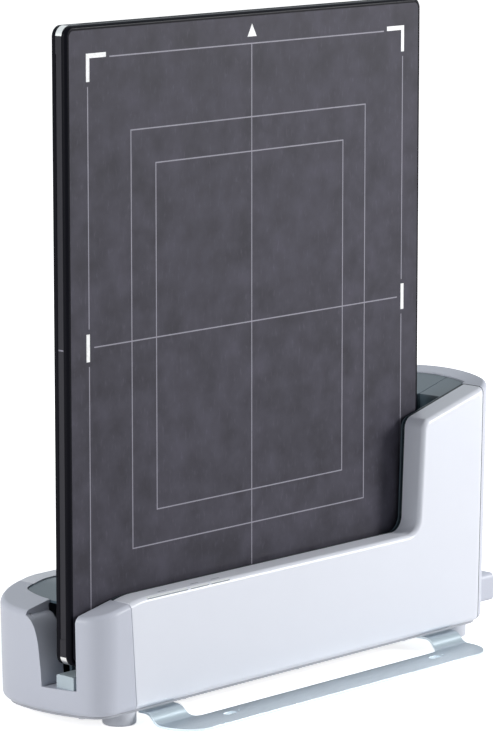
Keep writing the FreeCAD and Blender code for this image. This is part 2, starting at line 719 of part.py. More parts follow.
def make_detector_electronics():
    """Readout, gate and control boards, ribbons and power cells."""
    half_height = "active_height / 2"
    half_width = "active_width / 2"
    edge = "active_width / 2 + glass_margin"
    for side, sign in (("left", -1), ("right", 1)):
        inner, outer = f"{sign} * ({half_width} - 32)", f"{sign} * ({half_width} - 2)"
        low_x, high_x = (outer, inner) if sign < 0 else (inner, outer)
        reach = f"({half_height} - 34)"
        board = panel_block(f"readout_{side}", low_x, high_x, f"-{reach}", reach, "board_front", "board_depth")
        chips = [
            panel_block(
                f"readout_chip_{side}_{step}",
                f"{low_x} + 9",
                f"{low_x} + 21",
                f"-150 + {step} * 50 - 7",
                f"-150 + {step} * 50 + 7",
                "board_back",
                "1.2",
            )
            for step in range(7)
        ]
        keep(fuse(f"readout_{side}_built", board, *chips), f"readout_board_{side}")
    gate = panel_block("gate", "-120", "120", f"{half_height} - 34", f"{half_height} - 8", "board_front", "board_depth")
    gate_chips = [
        panel_block(
            f"gate_chip_{step}",
            f"-100 + {step} * 50 - 8",
            f"-100 + {step} * 50 + 8",
            f"{half_height} - 26",
            f"{half_height} - 16",
            "board_back",
            "1.2",
        )
        for step in range(5)
    ]
    keep(fuse("gate_built", gate, *gate_chips), "gate_board")
    control = panel_block("control", "-70", "70", "-60", "60", "board_front", "board_depth")
    parts = [
        panel_block("processor", "-18", "18", "-18", "18", "board_back", "2"),
        panel_block("memory_left", "-52", "-34", "-8", "16", "board_back", "1.4"),
        panel_block("memory_right", "34", "52", "-8", "16", "board_back", "1.4"),
        panel_block("radio", "-30", "6", "32", "54", "board_back", "2.4"),
    ]
    keep(fuse("control_built", control, *parts), "control_board")
    for side, sign in (("left", -1), ("right", 1)):
        inner, outer = f"{sign} * 22", f"{sign} * 122"
        low_x, high_x = (outer, inner) if sign < 0 else (inner, outer)
        cell = panel_block(
            f"cell_{side}", low_x, high_x, f"-({half_height}) + 26", "-76", "board_front", "cell_depth"
        )
        keep(cell, f"power_cell_{side}")
    antenna = panel_block("antenna", "-60", "60", f"{half_height} - 56", f"{half_height} - 46", "board_front", "0.8")
    keep(antenna, "antenna_strip")
    ribbons = []
    for side, sign in (("left", -1), ("right", 1)):
        for step in range(7):
            middle = f"button_rise + ribbon_pitch * ({step} - 5.5)"
            ribbons.append(wrapped_ribbon(f"ribbon_{side}_{step}", sign, middle, edge, f"{half_width} - 2"))
    keep(group("ribbon_set", ribbons), "flat_ribbons")


def wrapped_ribbon(name, sign, middle, glass_edge, board_edge):
    """A flat ribbon from the glass's edge round the support plate to the edge of a readout board."""
    outside = "panel_width / 2 - frame_wall - fit_gap"
    legs = (
        (glass_edge, outside, "glass_front", "ribbon_depth"),
        (f"{outside} - ribbon_depth", outside, "glass_front", "board_back - glass_front"),
        (board_edge, outside, "board_back - board_gap", "board_gap"),
    )
    pieces = []
    for index, (near, far, front, depth) in enumerate(legs):
        low, high = (near, far) if sign > 0 else (f"-({far})", f"-({near})")
        span = (f"{middle} - ribbon_width / 2", f"{middle} + ribbon_width / 2")
        pieces.append(panel_block(f"{name}_leg_{index}", low, high, *span, front, depth))
    return fuse(name, *pieces)


def make_button_and_lamps():
    """Sprung power button, the switch behind it and three pin-head lamps, on the right side."""
    cap = block("button_cap", BUTTON_X, ("button_front", "button_back"), ("button_base", "button_top"))
    flange = block(
        "button_flange",
        ("panel_right - frame_wall - fit_gap - 1", "panel_right - frame_wall - fit_gap"),
        ("button_front - 0.7", "button_back + 0.7"),
        ("button_base - 1.5", "button_top + 1.5"),
    )
    neck = block(
        "button_neck",
        ("panel_right - frame_wall - fit_gap - 1", "panel_right - frame_wall"),
        ("button_front", "button_back"),
        ("button_base", "button_top"),
    )
    keep(fuse("button_built", cap, neck, flange), "power_button")
    switch = block(
        "switch_body",
        ("panel_mid_x + active_width / 2 - 2", "switch_right - 1"),
        ("band_mid_y - 2", "band_mid_y + 2"),
        ("button_mid_z - 4", "button_mid_z + 4"),
    )
    plunger = rod("switch_plunger", "x", 1.2, ("switch_right - 2", "band_mid_y", "button_mid_z"), 2, PIN_SIDES)
    keep(fuse("switch_built", switch, plunger), "button_switch")
    keep(
        group(
            "side_lamp_set",
            [
                rod(
                    f"side_lamp_{rise}",
                    "x",
                    LAMP_RADIUS,
                    ("panel_right - frame_wall", "band_mid_y", f"button_top + {rise}"),
                    "frame_wall - band_recess",
                    PIN_SIDES,
                )
                for rise in LAMP_RISES
            ],
        ),
        "side_lamps",
    )


# The cradle

def crowned_body(name, inset, span, corners=("0", "0"), draft="draft_angle"):
    """A solid on the cradle's plan: its corners rounded, then its walls leaned out by the draft angle.

    The inset draws in all four sides, or is four formulas: left end, right end, front, rear.
    """
    left, right, front, rear = (inset,) * 4 if isinstance(inset, str) else inset
    base, top = span
    body = new_body(name)
    sketch = new_sketch(body, name + "_plan", "XY", base)
    draw_crowned(sketch, f"housing_front + ({front})", f"housing_rear - ({rear})", left, right)
    feature(body, "Pad", name + "_raised", sketch, f"({top}) - ({base})")
    middle = reading("housing_mid_y")
    for end, side, radius in (("front", -1, corners[0]), ("rear", 1, corners[1])):
        if radius != "0":
            soften(
                body,
                "Fillet",
                f"{name}_{end}_corners",
                radius,
                lambda edge, box: along("Z", box) and (box.YMin - middle) * side > 0,
            )
    if draft:
        upright = body.Tip
        faces = list(enumerate(upright.Shape.Faces, 1))
        sides = [f"Face{i}" for i, face in faces if abs(face.normalAt(0, 0).z) < 0.1]
        floor = [f"Face{i}" for i, face in faces if face.normalAt(0, 0).z < -0.9]
        lean = body.newObject("PartDesign::Draft", name + "_lean")
        lean.Base = (upright, sides)
        lean.NeutralPlane = (upright, floor)
        tie(lean, "Angle", draft)
        lean.Reversed = True
        doc.recompute()
    return body


def plan_corners(inset):
    """Radii of the cradle's front and rear corners on a plan drawn in by an inset."""
    return f"front_corner - ({inset})", f"rear_corner - ({inset})"


WIDE_FLAT = 2 - math.sqrt(2)
NARROW_FLAT = math.tan(math.pi / 8) - math.tan(math.pi / 16)


def soften_in_flats(body, name, radius, test):
    """Round edges in three flats each: one bevel, then a narrower one along both of its sides."""
    sharp = [edge for edge in body.Tip.Shape.Edges if test(edge, edge.BoundBox)]
    wide = soften(body, "Chamfer", name + "_wide", f"{WIDE_FLAT} * ({radius})", test)
    reach = 0.55 * reading(radius)

    def is_flat(face):
        u_low, u_high, v_low, v_high = face.ParameterRange
        centre = Part.Vertex(face.valueAt((u_low + u_high) / 2, (v_low + v_high) / 2))
        return any(centre.distToShape(edge)[0] < reach for edge in sharp)

    flats_beside = {}
    for face in wide.Shape.Faces:
        flat = is_flat(face)
        for edge in face.Edges:
            flats_beside.setdefault(edge.hashCode(), []).append(flat)
    soften(
        body,
        "Chamfer",
        name + "_narrow",
        f"{NARROW_FLAT} * ({radius})",
        lambda edge, box: sorted(flats_beside[edge.hashCode()]) == [False, True],
    )


def profile_point(column, drop):
    """Corners of the cradle's top line, from its left end to past its right end."""
    fall = "left_slope * (housing_length / 2 - panel_offset - left_fall_start + 20)"
    lean = "tower_slope * (housing_right + 20 - panel_mid_x - riser_head)"
    return {
        "left": ("housing_left - 20", f"low_top - {fall} - ({drop})"),
        "fall": ("panel_mid_x - left_fall_start", f"low_top - ({drop})"),
        "foot": (f"panel_mid_x + riser_foot + ({drop})", f"low_top - ({drop})"),
        "head": (f"panel_mid_x + riser_head + ({drop})", f"tower_top - ({drop})"),
        "right": ("housing_right + 20", f"tower_top + {lean} - ({drop})"),
    }[column]


def trim_to_profile(body, name, drop):
    """Cut away all that lies above the cradle's top line, lowered by a drop."""
    sketch = new_sketch(body, name + "_line", "XZ")
    line = [profile_point(column, drop) for column in ("left", "fall", "foot", "head", "right")]
    draw_outline(sketch, [*line, ("housing_right + 20", "ceiling + 60"), ("housing_left - 20", "ceiling + 60")])
    feature(body, "Pocket", name, sketch, both=True)
    bends = (
        ("fall", f"fall_curve - ({drop})"),
        ("foot", f"foot_curve + ({drop})"),
        ("head", f"head_curve - ({drop})"),
    )
    for corner, radius in bends:
        u, v = (reading(formula) for formula in profile_point(corner, drop))
        soften(
            body,
            "Fillet",
            f"{name}_{corner}",
            radius,
            lambda edge, box: along("Y", box) and abs(box.XMin - u) < 1 and abs(box.ZMin - v) < 1,
        )


def make_housing_form():
    """The cradle's whole outer form, before it is hollowed and parted."""
    body = crowned_body("housing_form", "0", ("housing_base", "ceiling + 40"), plan_corners("0"))
    trim_to_profile(body, "top_trim", "0")
    lowest = reading("low_top") - 40
    depth = reading("housing_depth")
    soften_in_flats(
        body, "top_rounding", "top_round", lambda edge, box: box.ZMin > lowest and box.YLength < 0.9 * depth
    )
    base_level = reading("housing_base") + 0.5
    soften_in_flats(body, "base_rounding", "base_round", lambda edge, box: box.ZMax < base_level)
    return body


def make_hollow():
    """The space inside the housing walls, above the lip at its base."""
    span = ("housing_base + wall", "ceiling + 40")
    body = crowned_body("hollow_form", "wall", span, plan_corners("wall"), draft=None)
    trim_to_profile(body, "hollow_trim", "wall")
    return body


def make_base_opening():
    """The opening in the housing's underside, which leaves a lip all round for the tray."""
    inset = "base_round + lip_width"
    return crowned_body(
        "base_opening", inset, ("housing_base - 1", "housing_base + wall + 1"), plan_corners(inset), draft=None
    )


def make_liner_form(name, gap, drop):
    """The plan of the dark liner, down to the slot's floor."""
    insets = [f"({inset}) + ({gap})" for inset in ("rim_left", "rim_right", "slot_front - housing_front", "rim_rear")]
    body = crowned_body(
        name, insets, ("slot_floor - wall", "ceiling + 40"), ("0", f"liner_corner - ({gap})"), draft=None
    )
    if drop is not None:
        trim_to_profile(body, name + "_trim", drop)
    return body


def past_seam(name, offset):
    """Everything left of the slanted left seam."""
    body = new_body(name)
    sketch = new_sketch(body, name + "_line", "XZ")
    draw_outline(
        sketch,
        (
            ("housing_left - 30", "0"),
            (f"left_seam_foot + ({offset})", "0"),
            (f"left_seam + ({offset})", "low_top"),
            (f"left_seam + ({offset})", "ceiling + 60"),
            ("housing_left - 30", "ceiling + 60"),
        ),
    )
    feature(body, "Pad", name + "_raised", sketch, "4 * housing_depth", both=True)
    return body


def zone(name, x_span, y_span):
    """A tall region of the cradle between two x and two y formulas."""
    return block(name, x_span, y_span, ("-20", "ceiling + 60"))


LENS_SPANS = (("left", 0, 42.5), ("middle", 45.5, 64.8), ("right", 67.5, 86.9))
LAMP_POSTS = (44, 66.1)
LAMP_CHIPS = (10.5, 21.5, 32.5, 55.5, 77.5)


def make_lenses(form):
    """Three narrow lamp windows let flush into the front cover's top edge."""
    bars = []
    for side, low, high in LENS_SPANS:
        x_span = (f"lamp_start + {low}", f"lamp_start + {high}")
        slit_y = ("lens_front", "lens_front + lens_depth")
        foot_y = ("lens_front", "lens_front + lens_depth + 3")
        slit = block(f"lens_slit_{side}", x_span, slit_y, ("lens_low", "low_top + 1"))
        foot = block(f"lens_foot_{side}", x_span, foot_y, ("lens_low - lens_foot", "lens_low"))
        bars.append(fuse(f"lens_bar_{side}", slit, foot))
        keep(overlap(f"lens_{side}", form, bars[-1]), f"lamp_lens_{side}")
    return bars


LONG_SIDE_SCREWS = (-1, 0, 1)
END_SCREWS = (-34, 30)


def shell_screw_places(side):
    """Middles of the screw bosses of one cover or end cap."""
    if side in ("front", "rear"):
        for share in LONG_SIDE_SCREWS:
            yield f"plate_mid_x + {share} * screw_spread", f"boss_row_{side}"
    else:
        sign = "+" if side == "right" else "-"
        for offset in END_SCREWS:
            reach = f"(sqrt(end_radius * end_radius - {offset * offset}) - boss_inset)"
            yield f"{side}_centre {sign} {reach}", f"housing_mid_y + ({offset})"


def shell_bosses(side):
    """Screw bosses that stand on the housing's lip, and the blind holes up their middles."""
    posts, holes = [], []
    for index, (x, y) in enumerate(shell_screw_places(side)):
        foot = (x, y, "housing_base")
        posts.append(rod(f"boss_{side}_{index}", "z", "screw_boss", foot, "thread_length + 3", FEW_SIDES))
        holes.append(rod(f"boss_hole_{side}_{index}", "z", "screw_radius", foot, "thread_length", FEW_SIDES))
    return posts, holes


def make_shells(form, hollow, lens_bars):
    """The white housing: front and rear covers and two end caps, parted along their seams."""
    far_left, far_right = "housing_left - 30", "housing_right + 30"
    far_front, far_rear = "housing_front - 30", "housing_rear + 30"
    slot = block("slot_space", (far_left, "slot_end"), ("slot_front", "slot_back"), ("slot_floor", "ceiling + 60"))
    opening = make_liner_form("rim_opening", "0", None)
    skin = cut("housing_skin", form, hollow, opening, make_base_opening(), slot)
    left_of_seam = past_seam("left_of_seam", "0")
    left_and_seam = past_seam("left_and_seam", "seam_gap")
    middle = (far_left, "right_seam - seam_gap")
    lamp_posts = [
        rod(
            f"lamp_post_{index}",
            "z",
            2.2,
            (f"lamp_start + {x}", "lamp_row", "lamp_board_top"),
            "low_top - 1 - lamp_board_top",
            FEW_SIDES,
        )
        for index, x in enumerate(LAMP_POSTS)
    ]

    front_posts, front_holes = shell_bosses("front")
    front_part = overlap("front_part", skin, zone("front_zone", middle, (far_front, "panel_front")))
    front = cut("front_skin", front_part, left_and_seam)
    front = fuse("front_with_bosses", front, *front_posts, *lamp_posts)
    keep(cut("front_finished", front, *front_holes, *lens_bars), "front_cover")

    rear_posts, rear_holes = shell_bosses("rear")
    rear_part = overlap("rear_part", skin, zone("rear_zone", middle, ("slot_back", far_rear)))
    rear = cut("rear_skin", rear_part, left_and_seam)
    rear = fuse("rear_with_bosses", rear, *rear_posts)
    keep(cut("rear_finished", rear, *rear_holes), "rear_cover")

    sleeve_zone = block(
        "sleeve_zone",
        (far_left, "housing_left + rim_left"),
        ("slot_front - wall", "slot_back + wall"),
        ("slot_floor - wall", "ceiling"),
    )
    left_posts, left_holes = shell_bosses("left")
    sleeve = overlap("slot_sleeve", form, sleeve_zone)
    left = fuse("left_with_bosses", overlap("left_part", skin, left_of_seam), sleeve, *left_posts)
    keep(cut("left_finished", left, slot, *left_holes), "left_end_cap")

    right_posts, right_holes = shell_bosses("right")
    right_zone = zone("right_zone", ("right_seam", far_right), (far_front, far_rear))
    right = fuse("right_with_bosses", overlap("right_part", skin, right_zone), make_boss(), *right_posts)
    pockets = [socket_space(f"{socket}_pocket", socket, "boss_face + 1") for socket in ("jack", "inlet")]
    keep(cut("right_finished", right, *right_holes, *pockets), "right_end_cap")


def make_boss():
    """The rounded block on the right end that carries the two sockets."""
    body = new_body("connector_boss")
    sketch = new_sketch(body, "boss_outline", "YZ", "housing_right - boss_root")
    draw_outline(sketch, rectangle("boss_y", "boss_y + boss_width", "boss_low", "boss_low + boss_height"))
    feature(body, "Pad", "boss_raised", sketch, "boss_reach + boss_root")
    soften(body, "Fillet", "boss_edges", "boss_round", lambda edge, box: along("X", box))
    face_x = reading("boss_face")
    soften(body, "Chamfer", "boss_face_edges", "boss_round / 4", lambda edge, box: box.XMin > face_x - 0.01)
    return body


def socket_space(name, socket, face):
    """The outline of the jack or the inlet, from its inner end to a face."""
    y_span = (f"{socket}_y", f"{socket}_y + {socket}_width")
    z_span = (f"socket_mid - {socket}_height / 2", f"socket_mid + {socket}_height / 2")
    return block(name, ("socket_back", face), y_span, z_span)


def make_sockets():
    """Network jack and low-voltage inlet, set just inside the boss's face."""
    mouth_x = ("jack_back", "boss_face")
    mouth_low, mouth_high = "socket_mid - 4.6", "socket_mid + 3.6"
    mouth = block("jack_mouth", mouth_x, ("jack_y + jack_wall", "jack_y + jack_width - jack_wall"), (mouth_low, mouth_high))
    middle = "jack_y + jack_width / 2"
    latch = block("jack_latch_way", mouth_x, (f"{middle} - 3", f"{middle} + 3"), (mouth_high, f"{mouth_high} + 1.8"))
    keep(cut("jack_built", socket_space("jack_body", "jack", "socket_front"), mouth, latch), "network_jack")
    wires = [
        block(
            f"jack_wire_{index}",
            ("jack_back", "jack_back + 10"),
            (f"{middle} + 1.02 * ({index} - 3.5) - 0.25", f"{middle} + 1.02 * ({index} - 3.5) + 0.25"),
            (mouth_low, f"{mouth_low} + 0.7"),
        )
        for index in range(8)
    ]
    keep(group("jack_wires", wires), "jack_contacts")
    bore_start = ("socket_front - 12", "inlet_y + inlet_width / 2", "socket_mid")
    bore = rod("inlet_bore_space", "x", "inlet_bore", bore_start, 13, ROUND_SIDES)
    keep(cut("inlet_built", socket_space("inlet_body", "inlet", "socket_front"), bore), "power_inlet")
    keep(rod("inlet_pin_rod", "x", "inlet_pin", bore_start, 10, ROUND_SIDES), "inlet_contact")


def make_liner():
    """The dark insert: top plates, slot walls and floor, and the ribs that guide the detector."""
    face = make_liner_form("liner_face", "liner_gap", "liner_drop")
    under = make_liner_form("liner_under", "liner_gap", "liner_drop + liner_wall")
    plate = cut("liner_plate", face, under)
    left_end = "housing_left + rim_left"
    slot_walls = ("slot_floor - wall", "ceiling")

    long_wall = (left_end, "slot_end + liner_wall")
    end_plate = ("slot_end", "slot_end + liner_wall")
    before_seam = ("slot_front", "liner_part - liner_seam")
    front_wall = block("front_slot_wall", long_wall, ("slot_front", "channel_front"), slot_walls)
    end_wall = block("slot_end_wall", end_plate, before_seam, slot_walls)
    cap_zone = zone("front_cap_zone", ("slot_end", "housing_right"), before_seam)
    front_ribs = guide_ribs("front", "channel_front - 0.5", "panel_front - guide_gap")
    shape = fuse("front_liner_built", front_wall, end_wall, overlap("front_liner_plate", plate, cap_zone), *front_ribs)
    keep(overlap("front_liner_trimmed", shape, face), "front_liner")

    rear_zone = zone("rear_liner_zone", ("housing_left", "housing_right"), ("channel_back", "housing_rear"))
    strip_zone = zone("rear_strip_zone", ("slot_end", "housing_right"), ("liner_part", "slot_back"))
    rear_wall = block("rear_slot_wall", long_wall, ("channel_back", "slot_back"), slot_walls)
    strip_wall = block("rear_strip_wall", end_plate, ("liner_part", "slot_back"), slot_walls)
    floor_z = ("slot_floor - wall", "slot_floor")
    floor = block("slot_floor_plate", (left_end, "slot_end"), ("channel_front", "slot_back"), floor_z)
    rear_ribs = guide_ribs("rear", "panel_back + guide_gap", "channel_back + 0.5")
    shape = fuse(
        "rear_liner_built",
        overlap("rear_liner_plate", plate, rear_zone),
        overlap("rear_strip_plate", plate, strip_zone),
        rear_wall,
        strip_wall,
        floor,
        *rear_ribs,
    )
    trimmed = overlap("rear_liner_trimmed", shape, face)
    keep(cut("rear_liner_open", trimmed, contact_space("floor_pocket")), "rear_liner")


RIB_PLACES = (-130, -45, 40, 125)


def guide_ribs(side, front, back):
    return [
        block(
            f"{side}_rib_{index}",
            (f"panel_mid_x + ({x}) - guide_width / 2", f"panel_mid_x + ({x}) + guide_width / 2"),
            (front, back),
            ("slot_floor + 12", "low_top - guide_drop"),
        )
        for index, x in enumerate(RIB_PLACES)
    ]


def make_tray():
    """The base tray with its board posts, and the screws that come up through it."""
    tray = crowned_body(
        "tray_form", "tray_inset", ("foot_height", "housing_base"), plan_corners("tray_inset"), draft=None
    )
    sunk = "housing_base - post_sink"
    board_posts = [
        rod(f"board_post_{index}", "z", "board_post", (x, y, sunk), "board_lift + post_sink", FEW_SIDES)
        for index, (x, y) in enumerate(BOARD_POSTS)
    ]
    tab_bosses = [
        rod(f"tab_boss_{index}", "z", "screw_boss", (x, y, sunk), 6, FEW_SIDES)
        for index, (x, y) in enumerate(TAB_SCREWS)
    ]
    screws, holes = [], []
    shell_places = [spot for side in ("front", "rear", "left", "right") for spot in shell_screw_places(side)]
    for index, (x, y) in enumerate(shell_places):
        screws.append(tray_screw(f"shell_{index}", x, y, "foot_height", "tray_depth + thread_length"))
        hole_foot = (x, y, "foot_height - 1")
        holes.append(rod(f"tray_hole_{index}", "z", "screw_radius", hole_foot, "tray_depth + 2", FEW_SIDES))
    keep(group("shell_screw_set", screws), "housing_screws")
    tab_screws = []
    for index, (x, y) in enumerate(TAB_SCREWS):
        tab_screws.append(tray_screw(f"tab_{index}", x, y, "tab_lift", "plate_depth + tray_depth + 4"))
        hole_foot = (x, y, "tab_lift - 1")
        hole_length = "plate_depth + tray_depth + 5"
        holes.append(rod(f"tab_hole_{index}", "z", "screw_radius", hole_foot, hole_length, FEW_SIDES))
    keep(group("tab_screw_set", tab_screws), "foot_plate_screws")
    keep(cut("tray_built", fuse("tray_blank", tray, *board_posts, *tab_bosses), *holes), "base_tray")
    return holes


def tray_screw(name, x, y, level, length):
    """A screw that points up, its head under a level."""
    head = rod(name + "_head", "z", "screw_head", (x, y, f"{level} - head_depth"), "head_depth", FEW_SIDES)
    shank = rod(name + "_shank", "z", "screw_radius", (x, y, level), length, FEW_SIDES)
    return fuse(name + "_screw", head, shank)


BOARD_POSTS = (
    ("board_left + board_margin", "board_y + board_margin"),
    ("board_right - board_margin", "board_y + board_margin"),
    ("board_left + board_margin", "board_y + board_breadth - board_margin"),
    ("board_right - board_margin", "board_y + board_breadth - board_margin"),
    ("contact_mid - 30", "band_mid_y"),
    ("contact_mid + 30", "band_mid_y"),
)
TAB_SCREWS = tuple(
    (f"plate_mid_x + {side} * (plate_width - tab_width) / 2", f"tab_front + {back}")
    for side in (-1, 1)
    for back in (16, 30)
)


def make_feet():
    """Four rubber feet, rounded where they meet the floor."""
    places = {"front": "foot_row_front", "rear": "foot_row_rear"}
    notches = []
    for level, y in places.items():
        for side, sign in (("left", -1), ("right", 1)):
            x = f"foot_mid_x + {sign} * foot_spread / 2"
            body = new_body(f"foot_body_{level}_{side}")
            sketch = new_sketch(body, f"foot_ring_{level}_{side}")
            turns = [2 * math.pi * step / FOOT_SIDES for step in range(FOOT_SIDES)]
            ring = [
                (f"{x} + foot_radius * ({math.cos(turn):.6f})", f"{y} + foot_radius * ({math.sin(turn):.6f})")
                for turn in turns
            ]
            draw_outline(sketch, ring)
            feature(body, "Pad", f"foot_raised_{level}_{side}", sketch, "foot_height")
            soften(body, "Chamfer", f"foot_rounding_{level}_{side}", "foot_round", lambda edge, box: box.ZMax < 0.01)
            keep(body, f"foot_{level}_{side}")
            if level == "front":
                notches.append(rod(f"foot_notch_{side}", "z", "foot_radius + 1.5", (x, y, "-1"), "foot_height + 2"))
    return notches


def draw_bent_sheet(sketch):
    """The foot plate seen from its end: front strip, two opposite bends and the raised tab."""
    inner, outer = "bend_radius - plate_depth / 2", "bend_radius + plate_depth / 2"
    sine, cosine = "(bend_run / (2 * bend_radius))", "(1 - tab_lift / (2 * bend_radius))"
    corners = {
        "strip_low": ("plate_front", "0"),
        "bend_low": ("strip_back", "0"),
        "tab_low": ("tab_front", "tab_lift"),
        "end_low": ("tab_front + tab_length", "tab_lift"),
        "end_high": ("tab_front + tab_length", "tab_lift + plate_depth"),
        "tab_high": ("tab_front", "tab_lift + plate_depth"),
        "bend_high": ("strip_back", "plate_depth"),
        "strip_high": ("plate_front", "plate_depth"),
    }
    at = {name: FreeCAD.Vector(reading(u), reading(v), 0) for name, (u, v) in corners.items()}
    lower_centre = FreeCAD.Vector(at["bend_low"].x, reading("plate_depth / 2 + bend_radius"), 0)
    upper_centre = FreeCAD.Vector(at["tab_low"].x, reading("plate_depth / 2 + tab_lift - bend_radius"), 0)
    up = FreeCAD.Vector(0, 0, 1)
    turn = math.acos(reading(cosine))

    def arc(centre, radius, start, end):
        return Part.ArcOfCircle(Part.Circle(centre, up, reading(radius)), start, end)

    quarter = math.pi / 2
    pieces = [
        Part.LineSegment(at["strip_low"], at["bend_low"]),
        arc(lower_centre, outer, -quarter, turn - quarter),
        arc(upper_centre, inner, quarter, quarter + turn),
        Part.LineSegment(at["tab_low"], at["end_low"]),
        Part.LineSegment(at["end_low"], at["end_high"]),
        Part.LineSegment(at["end_high"], at["tab_high"]),
        arc(upper_centre, outer, quarter, quarter + turn),
        arc(lower_centre, inner, -quarter, turn - quarter),
        Part.LineSegment(at["bend_high"], at["strip_high"]),
        Part.LineSegment(at["strip_high"], at["strip_low"]),
    ]
    for piece in pieces:
        sketch.addGeometry(piece)
    joints = (
        (0, 2, 1, 1),
        (1, 2, 2, 2),
        (2, 1, 3, 1),
        (3, 2, 4, 1),
        (4, 2, 5, 1),
        (5, 2, 6, 1),
        (6, 2, 7, 2),
        (7, 1, 8, 1),
        (8, 2, 9, 1),
        (9, 2, 0, 1),
    )
    for joint in joints:
        sketch.addConstraint(Sketcher.Constraint("Coincident", *joint))
    held = (
        (0, 1, "strip_low"),
        (0, 2, "bend_low"),
        (3, 1, "tab_low"),
        (4, 1, "end_low"),
        (5, 1, "end_high"),
        (5, 2, "tab_high"),
        (8, 1, "bend_high"),
        (9, 1, "strip_high"),
    )
    for line, end, name in held:
        u, v = corners[name]
        dimension(sketch, "DistanceX", -1, 1, line, end, u)
        dimension(sketch, "DistanceY", -1, 1, line, end, v)
    for bend, radius in ((1, outer), (7, inner)):
        dimension(sketch, "DistanceX", -1, 1, bend, 3, "strip_back")
        dimension(sketch, "DistanceY", -1, 1, bend, 3, "plate_depth / 2 + bend_radius")
        dimension(sketch, "DistanceX", -1, 1, bend, 2, f"strip_back + ({radius}) * {sine}")
    for bend in (2, 6):
        dimension(sketch, "DistanceX", -1, 1, bend, 3, "tab_front")


def make_foot_plate(notches, holes):
    """One bent metal sheet: a strip on the floor in front, and two tabs screwed under the tray."""
    body = new_body("foot_plate_body")
    sketch = new_sketch(body, "foot_plate_end", "YZ", "plate_mid_x - plate_width / 2")
    draw_bent_sheet(sketch)
    feature(body, "Pad", "foot_plate_sheet", sketch, "plate_width")
    front = reading("plate_front")
    soften(
        body,
        "Fillet",
        "foot_plate_corners",
        "plate_corner",
        lambda edge, box: along("Z", box) and abs(box.YMin - front) < 0.01,
    )
    window = new_body("plate_window")
    outline = new_sketch(window, "plate_window_outline")
    half = "(plate_width / 2 - tab_width)"
    far_back = "tab_front + tab_length + 20"
    draw_outline(outline, rectangle(f"plate_mid_x - {half}", f"plate_mid_x + {half}", "strip_back", far_back))
    feature(window, "Pad", "plate_window_raised", outline, "foot_height + 2")
    soften(window, "Fillet", "plate_window_corners", "bend_radius", lambda edge, box: along("Z", box))
    slots = []
    for side in (-1, 1):
        middle = f"foot_mid_x + {side} * bench_slot_spacing / 2"
        straight = "(bench_slot_length - bench_slot_width) / 2"
        through = "plate_depth + 2"
        ends = []
        for end in (-1, 1):
            start = (f"{middle} + {end} * {straight}", "bench_y", "-1")
            ends.append(rod(f"bench_round_{side}_{end}", "z", "bench_slot_width / 2", start, through))
        bar = block(
            f"bench_bar_{side}",
            (f"{middle} - {straight}", f"{middle} + {straight}"),
            ("bench_y - bench_slot_width / 2", "bench_y + bench_slot_width / 2"),
            ("-1", "plate_depth + 1"),
        )
        pilot_foot = (f"{middle} + bench_slot_length / 2 + pilot_gap", "bench_y", "-1")
        pilot = rod(f"pilot_space_{side}", "z", "pilot_hole", pilot_foot, through, FEW_SIDES)
        slots += [*ends, bar, pilot]
    keep(cut("foot_plate_built", body, window, *notches, *slots, *holes), "foot_plate")


CONTACTS = 5


def contact_space(name):
    """The outline of the contact block, from its board up to its face."""
    return block(
        name,
        ("contact_left - 6", "contact_right + 6"),
        ("band_mid_y - 5.5", "band_mid_y + 5.5"),
        ("board_rest + board_depth", "contact_top"),
    )


def make_seat():
    """The light rail along the slot's floor and the two rubber pads that carry the detector."""
    body = new_body("seat_rail_body")
    sketch = new_sketch(body, "seat_rail_end", "YZ", "housing_left + rail_inset")
    draw_outline(sketch, rectangle("channel_front + 0.5", "panel_back + 1", "slot_floor", "rail_top"))
    feature(body, "Pad", "seat_rail_run", sketch, "panel_right + 2 - housing_left - rail_inset")
    top = reading("rail_top")
    soften(
        body,
        "Fillet",
        "seat_rail_round",
        "rail_round",
        lambda edge, box: along("X", box) and abs(box.ZMin - top) < 0.01,
    )
    keep(cut("seat_rail_built", body, contact_space("rail_pocket")), "seat_rail")
    for side, sign in (("left", -1), ("right", 1)):
        middle = f"panel_mid_x + {sign} * pad_spread / 2"
        pad = block(
            f"seat_pad_{side}_block",
            (f"{middle} - pad_length / 2", f"{middle} + pad_length / 2"),
            ("channel_front + 2", "panel_back - 0.5"),
            ("rail_top", "panel_base - fit_gap"),
        )
        keep(pad, f"seat_pad_{side}")


